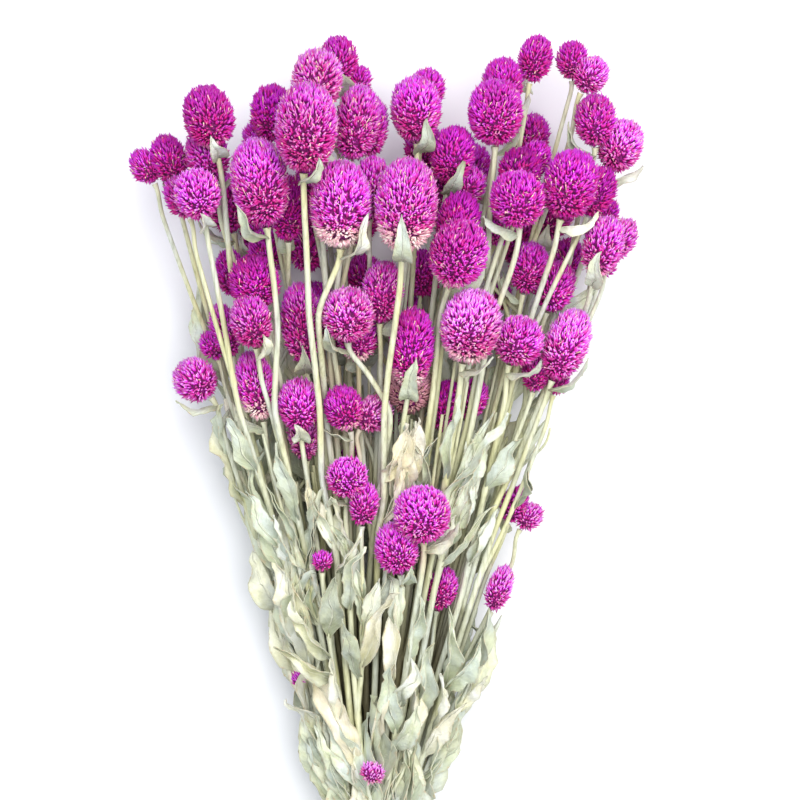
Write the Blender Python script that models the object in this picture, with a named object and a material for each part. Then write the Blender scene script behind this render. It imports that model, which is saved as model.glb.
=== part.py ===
"""A bunch of dried globe amaranth, tied with twine and laid on a flat surface.

The flower heads point along +Y, the cut stems along -Y, and the upper side faces +Z. The origin is
on the surface, straight under the middle of the twine. The layout is worked out in millimetres, and
each mesh is made in metres.
"""

import math
import random
from collections import namedtuple

import bmesh
import bpy
import numpy as np
from mathutils import Matrix, Vector

MM = 0.001
SHARP_FROM = 50

# Stems and twine, in millimetres
STEM_RADIUS = 1.4
STEM_PITCH = 3.3
STEM_EASE = 0.9
STEM_SLACK = 0.75
CUT_LENGTH = 68.0
CUT_VARIATION = 7.0
CUT_SPREAD = 0.14
TWINE = 2.2
TWINE_GROOVE = 0.8
TURNS = 5
TIE_HALF = TURNS * TWINE / 2
TIE_SIDES = 16
REST_FLAT = (-0.3, 0.7)
SEAT_GAP = 0.35

# How the bunch spreads above the twine: what each millimetre adds to half its width and half its
# depth, and how far its middle rises from the surface
FAN_WIDTH = 0.29
FAN_DEPTH = 0.091
FAN_RISE = 0.092

# How many nodes each ring of stems is shared between, from the middle outwards
RING_GROUPS = (1, 2, 3, 6)

# From this width in millimetres, how many columns and rows of bracts a head has
HEAD_MESH = ((25, 10, 6), (15, 8, 6), (0, 6, 5))
HEAD_FULLNESS = 0.9
HEAD_VALLEY = 0.85
HEAD_SHIFT = 0.1
HEAD_FOOT = 0.75
HEAD_TOP = 0.97

# The leaves that show most, in millimetres: where each leaves its stem, how long and wide it is,
# and how far it turns to the right of the stems, in degrees
Leaf = namedtuple("Leaf", "across up length width turn")
LEAVES = (
    Leaf(35, 164, 46, 13, 29), Leaf(27, 168, 42, 10, 0), Leaf(11, 164, 25, 14, -8),
    Leaf(1, 86, 41, 15, 21), Leaf(30, 75, 40, 14, -14), Leaf(35, 76, 35, 13, 34),
    Leaf(-20, 88, 34, 15, -27), Leaf(-35, 110, 30, 14, -20), Leaf(-20, 80, 31, 14, -55),
    Leaf(-20, 124, 38, 9, 10), Leaf(-9, 126, 24, 10, 28), Leaf(-12, 99, 31, 10, 14),
    Leaf(11, 55, 34, 11, -15), Leaf(14, 69, 24, 10, 6), Leaf(15, 48, 24, 13, 20),
    Leaf(-5, 44, 26, 13, 62), Leaf(-24, 58, 22, 10, -38), Leaf(-20, 30, 32, 11, -17),
    Leaf(29, 43, 33, 12, 30), Leaf(45, 78, 26, 10, 22), Leaf(-58, 172, 29, 10, -14),
    Leaf(-38, 150, 38, 11, -2), Leaf(53, 165, 29, 10, 20), Leaf(42, 100, 32, 12, 12),
    Leaf(40, 130, 30, 11, 16), Leaf(-48, 140, 30, 10, -16), Leaf(2, 30, 28, 10, -6),
)
LEAF_SEED = 7
MORE_LEAVES = 20
LEAF_TRIES = 1500
LARGE_LEAF = np.array([0.0, 0.5, 1.0, 0.8, 0.0])
SMALL_LEAF = np.array([0.0, 0.8, 0.9, 0.0])
LEAF_MARGIN = 1.0
LEAF_OUTLINE = 5.0
LEAF_FOLD = 0.16
LEAF_WAVE = 0.6
BLADE = 0.8
BRACTED_FROM = 18.0
BRACT_HALF = 4.6
BRACT_STARTS = (90, 45, 135, 15, 165, 0, 180, -20)
BRACT_RISES = (0.25, 0.35, 0.45)

Bloom = namedtuple("Bloom", "across up depth width height lean nod own", defaults=(0, 0, 0))

# The flower heads in millimetres from the tie, each row one group of heads that press together.
# depth is the share of the bunch's half thickness above (+) or below (-) its middle, lean tips a
# head to the right and nod tips it upwards, in degrees, and own gives a head its own cut stem.
CLUSTERS = (
    (Bloom(-16, 357, -0.2, 18, 23, -4), Bloom(-5, 347, -0.2, 12, 14, 14)),
    (Bloom(-73, 331, 0.6, 23, 29, -6), Bloom(-74, 309, 0.45, 20, 24, -10)),
    (Bloom(-74, 298, 0.95, 21, 24, -6, 32), Bloom(-87, 294, 0.5, 15, 20, -14)),
    (Bloom(-90, 312, 0.1, 17, 23, -6), Bloom(-101, 309, 0.0, 14, 17, -20)),
    (Bloom(-46, 332, 0.0, 20, 26, 6), Bloom(-50, 321, -0.1, 14, 18, -12)),
    (Bloom(-28, 323, 1.0, 28, 40, 6, 4), Bloom(-19, 342, 0.6, 23, 28, 8, 0, 1)),
    (Bloom(-9, 324, 0.55, 20, 34, 10), Bloom(0, 326, 0.2, 17, 28, 4)),
    (Bloom(-51, 300, 0.9, 26, 40, -3, 4), Bloom(-36, 290, 0.35, 17, 30, 2, 0, 1)),
    (Bloom(-15, 290, 1.0, 28, 39, 2, 4), Bloom(1, 305, 0.5, 17, 28, 4, 0, 1)),
    (Bloom(26, 345, -0.2, 17, 20, 10), Bloom(19, 329, 0.4, 23, 30, -4, 0, 1)),
    (Bloom(35, 314, 0.3, 20, 27, 6), Bloom(42, 300, 0.2, 16, 18, 16)),
    (Bloom(16, 288, 1.0, 28, 42, 3, 4),),
    (Bloom(33, 268, 1.0, 26, 32, 12, 28), Bloom(38, 288, 0.5, 20, 28, 8, 0, 1)),
    (Bloom(60, 327, 0.5, 25, 30, -6, 8), Bloom(59, 348, -0.1, 19, 24, -4, 0, 1)),
    (Bloom(75, 357, -0.3, 16, 22, 6),),
    (Bloom(89, 357, -0.3, 15, 18, -8), Bloom(96, 347, -0.2, 16, 18, 22)),
    (Bloom(101, 331, 0.0, 19, 24, -10), Bloom(108, 317, 0.1, 20, 25, 12, 6)),
    (Bloom(63, 307, 0.3, 20, 22, 6), Bloom(73, 320, 0.2, 15, 18, 20),
     Bloom(62, 286, 0.85, 25, 26, -12, 20, 1)),
    (Bloom(86, 300, 0.8, 25, 32, 6, 6), Bloom(104, 297, 0.3, 17, 24, 10)),
    (Bloom(98, 275, 0.45, 19, 28, 4), Bloom(110, 277, 0.2, 14, 21, 16)),
    (Bloom(69, 264, 0.0, 18, 24, 4), Bloom(83, 255, 0.1, 18, 24, 8)),
    (Bloom(85, 234, 0.6, 20, 34, 10), Bloom(74, 217, 0.5, 14, 18, 0), Bloom(81, 210, 0.45, 10, 14, 8)),
    (Bloom(66, 230, 0.9, 23, 23, 12, 14),),
    (Bloom(43, 237, 1.0, 27, 34, 6, 8),),
    (Bloom(18, 233, 0.85, 20, 37, 2), Bloom(15, 205, 0.4, 21, 24, 2)),
    (Bloom(-11, 247, 0.75, 24, 25, 2, 12), Bloom(3, 252, 0.55, 19, 28, 4),
     Bloom(-6, 228, 0.45, 19, 22, 0)),
    (Bloom(-55, 259, 0.7, 23, 25, -8, 6), Bloom(-51, 237, 0.85, 19, 24, -4, 8)),
    (Bloom(-32, 238, 0.4, 19, 37, 0),),
    (Bloom(-50, 211, 0.6, 18, 32, -4),),
    (Bloom(-66, 236, 0.2, 13, 25, -8), Bloom(-73, 227, 0.1, 12, 14, -12)),
    (Bloom(-32, 206, 0.8, 20, 24, 2), Bloom(-30, 187, 0.3, 15, 24, 0)),
    (Bloom(-12, 200, 0.65, 18, 21, -14), Bloom(1, 200, 0.8, 16, 18, 40)),
    (Bloom(-78, 216, 0.3, 20, 21, -34),),
    (Bloom(-10, 174, 1.05, 19, 19, 4, 34), Bloom(-5, 155, 0.75, 14, 20, 6)),
    (Bloom(33, 201, 0.2, 16, 24, 6), Bloom(45, 206, 0.2, 14, 20, 12)),
    (Bloom(22, 157, 1.25, 26, 26, -8, 12), Bloom(11, 136, 1.0, 20, 24, -12, 4, 1)),
    (Bloom(-22, 133, 1.0, 10, 10, 6),),
    (Bloom(63, 158, 0.2, 13, 18, 6), Bloom(71, 152, 0.2, 12, 14, 24)),
    (Bloom(57, 120, 0.3, 12, 22, 4),),
    (Bloom(31, 120, 0.5, 14, 20, 6),),
    (Bloom(-33, 79, 1.0, 8, 8, -14),),
    (Bloom(0, 38, 1.3, 12, 10, 20, 20),),
    (Bloom(-66, 296, -1.3, 22, 28, -6), Bloom(-52, 280, -1.1, 19, 24, 2)),
    (Bloom(-22, 300, -0.8, 22, 29, -4), Bloom(-6, 288, -0.9, 20, 25, 6)),
    (Bloom(30, 298, -1.0, 21, 28, 2), Bloom(46, 310, -0.7, 18, 24, 10)),
    (Bloom(80, 292, -1.5, 22, 27, 6), Bloom(66, 276, -1.2, 19, 24, 2)),
    (Bloom(-26, 246, -0.8, 20, 26, -4), Bloom(-10, 236, -0.8, 18, 22, 4)),
)


def hex_rings(pitch):
    """Places of a hexagonal packing by ring: the middle with ring 1, rings 2 and 3, and ring 4
    without its corners. Places that follow each other in a ring lie side by side."""
    corners = [np.array([math.cos(a), math.sin(a)]) * pitch for a in np.radians(np.arange(0, 360, 60))]
    rings = []
    for ring in range(1, 5):
        places = []
        for side in range(6):
            step = corners[(side + 1) % 6] - corners[side]
            places += [corners[side] * ring + step * k for k in range(ring) if ring < 4 or k > 0]
        rings.append(places)
    rings[0].insert(0, np.zeros(2))
    return rings


# The place of each cut stem in the tie, and the node that it belongs to
SLOTS, SLOT_NODE = [], []
for places, shares in zip(hex_rings(STEM_PITCH), RING_GROUPS):
    first_node = max(SLOT_NODE, default=-1) + 1
    for count, place in enumerate(places):
        SLOTS.append(place)
        SLOT_NODE.append(first_node + count * shares // len(places))
SLOTS = np.array(SLOTS)
BUNDLE_RADIUS = np.linalg.norm(SLOTS, axis=1).max() + STEM_RADIUS
TIE_INSIDE = (BUNDLE_RADIUS + SEAT_GAP) / math.cos(math.pi / TIE_SIDES)
TIE_OUTSIDE = TIE_INSIDE + TWINE
TIE_HEIGHT = TIE_OUTSIDE * math.cos(math.pi / TIE_SIDES)

# One row for each head, with its group and the head that its stem forks from (itself if cut)
BLOOMS = [bloom for cluster in CLUSTERS for bloom in cluster]
COUNT = len(BLOOMS)
GROUP = np.array([n for n, cluster in enumerate(CLUSTERS) for _ in cluster])
FIRST = np.array([int(np.argmax(GROUP == n)) for n in GROUP])
PARENT = np.array([i if b.own or FIRST[i] == i else FIRST[i] for i, b in enumerate(BLOOMS)])
CUT = np.flatnonzero(PARENT == np.arange(COUNT))
BRANCHES = np.flatnonzero(PARENT != np.arange(COUNT))
WIDTH = np.array([b.width for b in BLOOMS], float)
HEIGHT = np.array([b.height for b in BLOOMS], float)

# Three balls stand for a head: where they lie up its axis, in millimetres from its middle
BALLS = np.maximum(HEIGHT - WIDTH, 0)[:, None] * np.array([-0.45, 0, 0.45])


def middle_height(up):
    """How high the middle of the bunch lies above the surface."""
    return TIE_HEIGHT + FAN_RISE * np.maximum(up, 0)


def half_width(up):
    return BUNDLE_RADIUS + FAN_WIDTH * np.maximum(up, 0)


def half_depth(up):
    return BUNDLE_RADIUS + FAN_DEPTH * np.maximum(up, 0)


def unit(vector):
    return vector / np.linalg.norm(vector)


def wanted_middles():
    """Where the middle of each head would lie with nothing in its way."""
    across = np.array([b.across for b in BLOOMS], float)
    up = np.array([b.up for b in BLOOMS], float)
    share = np.array([b.depth for b in BLOOMS])
    rounding = np.sqrt(np.maximum(1 - (across / half_width(up)) ** 2, 0.15))
    high = middle_height(up) + share * half_depth(up) * rounding
    return np.stack([across, up, high], axis=1)


def head_axes(middles):
    """Unit vectors up the heads: along the stems, tipped by each head's own lean and nod."""
    lean = np.tan(np.radians([b.lean for b in BLOOMS]))
    nod = np.tan(np.radians([b.nod for b in BLOOMS]))
    up = middles[:, 1]
    across = 0.6 * middles[:, 0] / up + lean
    high = 0.6 * (middles[:, 2] - TIE_HEIGHT) / up + nod
    axes = np.stack([across, np.ones(COUNT), high], axis=1)
    return axes / np.linalg.norm(axes, axis=1)[:, None]


def matched_slots(middles):
    """The slot of each cut stem, swapped until no two stems want to cross."""
    slopes = (middles[CUT][:, [0, 2]] - [0, TIE_HEIGHT]) / middles[CUT][:, 1:2]
    slot = np.arange(len(CUT))
    swapped = True
    while swapped:
        swapped = False
        for i in range(len(CUT)):
            for j in range(i + 1, len(CUT)):
                if (SLOTS[slot[i]] - SLOTS[slot[j]]) @ (slopes[i] - slopes[j]) < -1e-9:
                    slot[i], slot[j] = slot[j], slot[i]
                    swapped = True
    return slot


class Bunch:
    """The heads and stems as they settle until nothing overlaps.

    Each stem is a row of points across and up, one at each level above the tie. A branch shares its
    parent's points as far as its fork.
    """

    ROUNDS = 440
    LEVEL_STEP = 6.0
    NECK = 7.0
    FORK_DROP = 62.0
    FORK_LOWEST = 24.0
    CLEARANCE = 0.6
    STEM_CLEARANCE = 0.9
    PRESS = 4.4
    FLAT = 0.9

    def __init__(self):
        self.wanted = wanted_middles()
        self.middles = self.wanted.copy()
        self.axes = head_axes(self.wanted)
        self.slot_of = np.zeros(COUNT, int)
        self.slot_of[CUT] = matched_slots(self.wanted)
        self.slot_of = self.slot_of[PARENT]
        self.slots = SLOTS[self.slot_of] + [0, TIE_HEIGHT]
        self.set_balls()
        self.set_levels()

    def set_balls(self):
        """Five balls for each head, three in the head and two down its neck."""
        necks = -HEIGHT[:, None] / 2 - np.array([2.5, self.NECK])
        self.offsets = np.concatenate([BALLS, necks], axis=1)
        neck_radius = np.full(COUNT, STEM_RADIUS + 0.1)
        self.radius = np.stack([WIDTH / 2] * 3 + [neck_radius] * 2, axis=1).ravel()
        self.owner = np.repeat(np.arange(COUNT), 5)
        in_head = np.tile([True] * 3 + [False] * 2, COUNT)
        group = GROUP[self.owner]
        pressed = (group[:, None] == group[None]) & in_head[:, None] & in_head[None]
        self.reach = self.radius[:, None] + self.radius[None]
        self.reach += np.where(pressed, -self.PRESS, self.CLEARANCE)
        self.reach[self.owner[:, None] == self.owner[None]] = 0
        self.lowest = np.where(in_head, self.radius - self.FLAT, self.radius + 0.4)

    def set_levels(self):
        """The first points of every stem, straight from its slot to its head."""
        feet = self.feet()
        self.levels = TIE_HALF + 3 + self.LEVEL_STEP * np.arange(60)
        start = self.levels[0]
        self.top = ((feet[:, 1] - self.NECK - start) // self.LEVEL_STEP).astype(int).clip(1)
        self.fork = np.zeros(COUNT, int)
        for i in BRANCHES:
            low = min(feet[i, 1], feet[PARENT[i], 1]) - self.FORK_DROP - 5 * (i % 4)
            self.fork[i] = int((max(low, self.FORK_LOWEST) - start) // self.LEVEL_STEP)
        share = ((self.levels - start)[None] / (feet[:, 1] - start)[:, None]).clip(0, 1)
        way = feet[:, [0, 2]] - self.slots
        self.stems = self.slots[:, None] + way[:, None] * share[..., None]
        level = np.arange(len(self.levels))[None]
        self.above = level > self.top[:, None]
        self.shared = level <= self.fork[:, None]
        self.live = ~self.above & ~self.shared

    def feet(self):
        """Where each stem ends, just under its head."""
        return self.middles - self.axes * (HEIGHT / 2 + SEAT_GAP)[:, None]

    def balls(self):
        return (self.middles[:, None] + self.axes[:, None] * self.offsets[..., None]).reshape(-1, 3)

    def part_heads(self):
        """Heads push each other apart, and those of one group pull together."""
        balls = self.balls()
        apart = balls[:, None] - balls[None]
        distance = np.sqrt((apart ** 2).sum(2)) + 1e-9
        push = np.maximum(self.reach - distance, 0) / distance
        np.add.at(self.middles, self.owner, (apart * push[..., None]).sum(1) * 0.3)
        for i in np.flatnonzero(FIRST != np.arange(COUNT)):
            a, b = 5 * i, 5 * FIRST[i]
            gaps = (distance - self.reach)[a : a + 3, b : b + 3]
            k, m = np.unravel_index(np.argmin(gaps), gaps.shape)
            if gaps[k, m] > 0:
                pull = apart[a + k, b + m] / distance[a + k, b + m] * gaps[k, m] * 0.5
                self.middles[i] -= pull
                self.middles[FIRST[i]] += pull

    def rest_on_surface(self):
        sunk = np.maximum(self.lowest - self.balls()[:, 2], 0).reshape(-1, 5).max(1)
        self.middles[:, 2] += sunk

    def part_stems(self, n, balls):
        """At one level, stems keep clear of the heads and then of each other."""
        on = np.flatnonzero(self.live[:, n])
        reach = self.radius + STEM_RADIUS + self.STEM_CLEARANCE
        room = reach ** 2 - (balls[:, 1] - self.levels[n]) ** 2
        near = np.flatnonzero(room > 0)
        if len(near):
            apart = self.stems[on, n][:, None] - balls[near][None][:, :, [0, 2]]
            distance = np.sqrt((apart ** 2).sum(2)) + 1e-9
            over = np.maximum(np.sqrt(room[near])[None] - distance, 0)
            over[on[:, None] == self.owner[near][None]] = 0
            push = apart * (over / distance)[..., None]
            self.stems[on, n] += push.sum(1) * 0.7
            np.add.at(self.middles[:, 0], self.owner[near], -0.1 * push[..., 0].sum(0))
            np.add.at(self.middles[:, 2], self.owner[near], -0.1 * push[..., 1].sum(0))
        here = self.stems[on, n]
        apart = here[:, None] - here[None]
        distance = np.sqrt((apart ** 2).sum(2)) + 1e-9
        kin = PARENT[on][:, None] == PARENT[on][None]
        rise = n - np.maximum(self.fork[on][:, None], self.fork[on][None])
        need = (STEM_PITCH + min(0.3 * n, STEM_EASE)) * np.where(kin, (rise / 4).clip(0, 1), 1)
        over = np.maximum(need - distance, 0)
        np.fill_diagonal(over, 0)
        self.stems[on, n] += (apart * (over / distance)[..., None]).sum(1) * 0.4

    def smooth_stems(self, calm):
        """Stems stay smooth, fixed to their slots and their heads."""
        self.stems[..., 1] = np.maximum(self.stems[..., 1], STEM_RADIUS + 0.6)
        self.stems = np.where(self.above[..., None], self.feet()[:, None, [0, 2]], self.stems)
        self.stems = np.where(self.shared[..., None], self.stems[PARENT], self.stems)
        self.stems[:, 0] = self.slots
        bend = (self.stems[:, :-2] + self.stems[:, 2:]) / 2 - self.stems[:, 1:-1]
        self.stems[:, 1:-1] += bend * (0.5 * calm * self.live[:, 1:-1])[..., None]

    def settle(self):
        for turn in range(self.ROUNDS):
            calm = 1 - turn / self.ROUNDS
            self.middles += 0.1 * calm * (self.wanted - self.middles)
            self.part_heads()
            self.rest_on_surface()
            balls = self.balls()
            for n in range(1, int(self.top.max()) + 1):
                self.part_stems(n, balls)
            self.smooth_stems(calm)
        return self

    def line(self, i):
        """Points up stem i, from its cut end or its fork to the foot of its head."""
        foot, axis = self.feet()[i], self.axes[i]
        neck = foot - axis * self.NECK * 0.6
        first = self.fork[i] if PARENT[i] != i else 0
        levels = [n for n in range(first, self.top[i] + 1) if self.levels[n] < neck[1] - 2.5]
        line = [(self.stems[i, n, 0], self.levels[n], self.stems[i, n, 1]) for n in levels]
        line = simpler(np.array(line + [neck, foot]), STEM_SLACK)
        if PARENT[i] == i:
            x, z = SLOTS[self.slot_of[i]]
            cut = CUT_LENGTH + CUT_VARIATION * math.sin(2.4 * i)
            spread = 1 + CUT_SPREAD
            end = (x * spread, -cut, TIE_HEIGHT + z * spread)
            line = [end, (x, -TIE_HALF - 2, TIE_HEIGHT + z)] + line
        return np.array(line)


def simpler(line, slack):
    """The points of a line that it can't lose without moving by more than slack."""
    start, end = line[0], line[-1]
    if len(line) < 3:
        return [start, end]
    along = unit(end - start)
    offset = line - start
    away = np.linalg.norm(offset - np.outer(offset @ along, along), axis=1)
    worst = int(np.argmax(away))
    if away[worst] <= slack:
        return [start, end]
    return simpler(line[: worst + 1], slack)[:-1] + simpler(line[worst:], slack)


def evenly(line, step):
    """Points along a line, no further apart than step, and the last point."""
    points = []
    for a, b in zip(line[:-1], line[1:]):
        count = max(1, math.ceil(np.linalg.norm(b - a) / step))
        points += [a + (b - a) * k / count for k in range(count)]
    return np.array(points + [line[-1]])


BUNCH = Bunch().settle()
MIDDLES, AXES, SLOT_OF, FEET = BUNCH.middles, BUNCH.axes, BUNCH.slot_of, BUNCH.feet()
LINES = [BUNCH.line(i) for i in range(COUNT)]
DENSE = [evenly(line, 2.0) for line in LINES]

# A blade is a leaf or a bract: the stem that it grows from, points up its midrib, half its width at
# each point, its sideways direction and how far its edges fold up
Blade = namedtuple("Blade", "stem points halves side fold")


def blade_normal(blade):
    return unit(np.cross(blade.side, blade.points[-1] - blade.points[0]))


def blade_samples(blade):
    """Points spread over a blade, for keeping others clear of it."""
    samples = [blade.points[-1]]
    normal = blade_normal(blade)
    for k in range(len(blade.points) - 1):
        for t in (0, 0.25, 0.5, 0.75):
            middle = blade.points[k] * (1 - t) + blade.points[k + 1] * t
            half = blade.halves[k] * (1 - t) + blade.halves[k + 1] * t
            for way in (-1, -0.5, 0, 0.5, 1):
                samples.append(middle + (blade.side * way + normal * blade.fold * abs(way)) * half)
    return np.array(samples)


class Foliage:
    """Leaves and bracts, placed one by one clear of the heads, the stems and each other."""

    FLOOR = 3.0
    STEEPEST = 1.1
    ROOT_RISE = 5.5

    def __init__(self):
        self.leaves, self.bracts = [], []
        self.centres = (MIDDLES[:, None] + AXES[:, None] * BALLS[..., None]).reshape(-1, 3)
        self.radii = np.repeat(WIDTH / 2, 3)
        self.owners = np.repeat(np.arange(COUNT), 3)
        for i, line in enumerate(DENSE):
            self.block(line, STEM_RADIUS, i)

    def block(self, points, radius, owner):
        """Keep what comes later clear of these points."""
        self.centres = np.concatenate([self.centres, points])
        self.radii = np.concatenate([self.radii, np.full(len(points), radius)])
        self.owners = np.concatenate([self.owners, np.full(len(points), owner)])

    def room(self, points, mask):
        """The least distance from points to the surfaces of the balls in mask."""
        apart = np.linalg.norm(points[:, None] - self.centres[None, mask], axis=2)
        return (apart - self.radii[mask]).min(initial=9)

    def draped(self, stem, root, along, out, length, halves, tip_lift):
        """A leaf from root along the outside of the bunch, or None where it finds no room."""
        side = unit(np.cross(along, out))
        count = len(halves)
        step = length / (count - 1)
        local = self.centres - root
        u, v, w = local @ along, local @ side, local @ out
        own = (self.owners == stem) & (self.radii < 2)
        heights = np.zeros(count)
        for k in range(1, count):
            beside = np.abs(u - k * step)
            under = (beside < step * 0.9 + self.radii) & (np.abs(v) < halves[k] + self.radii + 0.6)
            under &= ~own | (w < 0)
            crossed = own & (beside < step) & (np.abs(v) < halves[k] + 2) & (k > 1)
            top = (w + self.radii)[under | crossed].max(initial=-4)
            heights[k] = max(top, heights[k - 1] - step * 0.35, -3) + LEAF_MARGIN
        heights[1:] = np.maximum(heights[1:], STEM_RADIUS)
        heights[1:-1] = np.maximum(heights[1:-1], (heights[:-2] + heights[2:]) / 2)
        heights += tip_lift * length * np.linspace(0, 1, count) ** 2
        if np.diff(heights).max() > step * self.STEEPEST or heights[1] > self.ROOT_RISE:
            return None
        points = root + np.outer(np.arange(count) * step, along) + np.outer(heights, out)
        leaf = Blade(stem, points, halves, side, LEAF_FOLD)
        near = (np.abs(u - length / 2) < length / 2 + self.radii + 4) & ~own
        near &= np.abs(v) < halves.max() + 2 + self.radii
        clear = self.room(blade_samples(leaf), near) > BLADE / 2 + 0.35
        return leaf if clear and points[:, 2].min() > self.FLOOR else None

    def grow(self, stem, root, turn, length, halves, out, lift):
        """Adds a leaf that turns this many degrees to the right of its stem, or less where it
        would leave the outline of the bunch, if there is room."""
        near = int(np.argmin(np.linalg.norm(DENSE[stem] - root, axis=1)))
        near = min(max(near, 2), len(DENSE[stem]) - 3)
        ahead = unit(DENSE[stem][near + 2] - DENSE[stem][near - 2])
        out = unit(out - ahead * (out @ ahead))
        right = np.cross(ahead, out)
        for less in range(0, 90, 10):
            angle = math.radians(turn - math.copysign(less, root[0]))
            along = math.cos(angle) * ahead + math.sin(angle) * right
            tip = root + along * length
            if abs(tip[0]) < half_width(tip[1]) + LEAF_OUTLINE:
                break
        leaf = self.draped(stem, root, along, out, length, halves, lift)
        if leaf:
            self.leaves.append(leaf)
            self.block(blade_samples(leaf), BLADE / 2 + 0.5, stem)
        return leaf is not None

    def add_seen_leaf(self, leaf, lift):
        """A leaf of the list, on the uppermost stem near its place that has room for it."""
        choices = []
        for i, line in enumerate(DENSE):
            near = int(np.argmin(np.abs(line[:, 1] - leaf.up)))
            aside = abs(line[near, 0] - leaf.across)
            if abs(line[near, 1] - leaf.up) < 4 and aside < 9:
                choices.append((line[near, 2] - 0.8 * aside, i, near))
        out = np.array([0.25 * leaf.across / half_width(leaf.up), 0, 1.0])
        halves = LARGE_LEAF * leaf.width / 2
        for length in (leaf.length, 0.8 * leaf.length):
            for _, i, near in sorted(choices, reverse=True):
                if self.grow(i, DENSE[i][near], leaf.turn, length, halves, out, lift):
                    return

    def add_more_leaves(self, rng):
        """Leaves by a seeded rule, all round the bunch."""
        wanted = len(self.leaves) + MORE_LEAVES
        for _ in range(LEAF_TRIES):
            if len(self.leaves) == wanted:
                return
            i = rng.randrange(COUNT)
            root = DENSE[i][rng.randrange(len(DENSE[i]))]
            turn, length, half = rng.uniform(-40, 40), rng.uniform(22, 38), rng.uniform(4, 6.5)
            lift = rng.uniform(0.0, 0.18)
            if 14 < root[1] < min(FEET[i, 1] - 30, 240):
                across = root[0] / half_width(root[1]) ** 2
                high = (root[2] - middle_height(root[1])) / half_depth(root[1]) ** 2
                out = unit(np.array([across, 0, high]) + 1e-9)
                self.grow(i, root, turn, length, SMALL_LEAF * half, out, lift)

    def add_bract(self, i, start, rise):
        """A small leaf under head i, cupping it from the side nearest to start that has room."""
        radius, foot, axis = WIDTH[i] / 2, FEET[i], AXES[i]
        near = np.linalg.norm(self.centres - foot, axis=1) < self.radii + HEIGHT[i] + 8
        near &= (self.owners != i) | (self.radii > 2)
        across = unit(np.cross(axis, np.array([0, 0, 1.0])))
        over = np.cross(across, axis)
        for shift in (0, 25, -25, 50, -50, 80, -80):
            angle = math.radians(start + shift)
            out = across * math.cos(angle) + over * math.sin(angle)
            root = foot - axis * 4.0
            elbow = foot + axis + out * (0.8 * radius + 1.6)
            tip = foot + axis * (rise * HEIGHT[i]) + out * (radius + 3.0)
            halves = np.array([0, min(0.55 * radius, BRACT_HALF), 0])
            bract = Blade(i, np.array([root, elbow, tip]), halves, np.cross(axis, out), 0.0)
            samples = blade_samples(bract)
            if self.room(samples, near) > BLADE / 2 + 0.6 and samples[:, 2].min() > 1.5:
                self.bracts.append(bract)
                self.block(samples, BLADE / 2, i)
                return


def grown_foliage():
    rng = random.Random(LEAF_SEED)
    foliage = Foliage()
    for i in range(COUNT):
        start, rise = rng.choice(BRACT_STARTS), rng.choice(BRACT_RISES)
        if WIDTH[i] >= BRACTED_FROM:
            foliage.add_bract(i, start, rise)
    for leaf in LEAVES:
        foliage.add_seen_leaf(leaf, rng.uniform(0.0, 0.18))
    foliage.add_more_leaves(rng)
    return foliage


FOLIAGE = grown_foliage()


def clear_scene():
    for obj in list(bpy.data.objects):
        bpy.data.objects.remove(obj)


def material(name, colour, roughness):
    made = bpy.data.materials.new(name)
    made.use_nodes = True
    made.diffuse_color = (*colour, 1)
    shader = made.node_tree.nodes["Principled BSDF"]
    shader.inputs["Base Color"].default_value = (*colour, 1)
    shader.inputs["Roughness"].default_value = roughness
    return made


def finished(name, shape):
    """A new object from a bmesh in millimetres, every face turned outwards."""
    bmesh.ops.recalc_face_normals(shape, faces=shape.faces)
    mesh = bpy.data.meshes.new(name)
    shape.to_mesh(mesh)
    shape.free()
    mesh.transform(Matrix.Scale(MM, 4))
    obj = bpy.data.objects.new(name, mesh)
    bpy.context.scene.collection.objects.link(obj)
    return obj


def applied(obj, modifier):
    with bpy.context.temp_override(object=obj, active_object=obj, selected_objects=[obj]):
        bpy.ops.object.modifier_apply(modifier=modifier.name)


def fused(name, pieces, colour):
    """One object, with the given material, made of pieces that overlap."""
    whole, others = pieces[0], pieces[1:]
    if others:
        group = bpy.data.collections.new(name)
        bpy.context.scene.collection.children.link(group)
        for piece in others:
            group.objects.link(piece)
            bpy.context.scene.collection.objects.unlink(piece)
        join = whole.modifiers.new("Join", "BOOLEAN")
        join.operation = "UNION"
        join.operand_type = "COLLECTION"
        join.collection = group
        applied(whole, join)
        for piece in others:
            bpy.data.objects.remove(piece)
        bpy.data.collections.remove(group)
    whole.name = name
    whole.data.name = name
    whole.data.materials.clear()
    whole.data.materials.append(colour)
    whole.data.shade_smooth()
    whole.data.set_sharp_from_angle(angle=math.radians(SHARP_FROM))
    return whole


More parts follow.
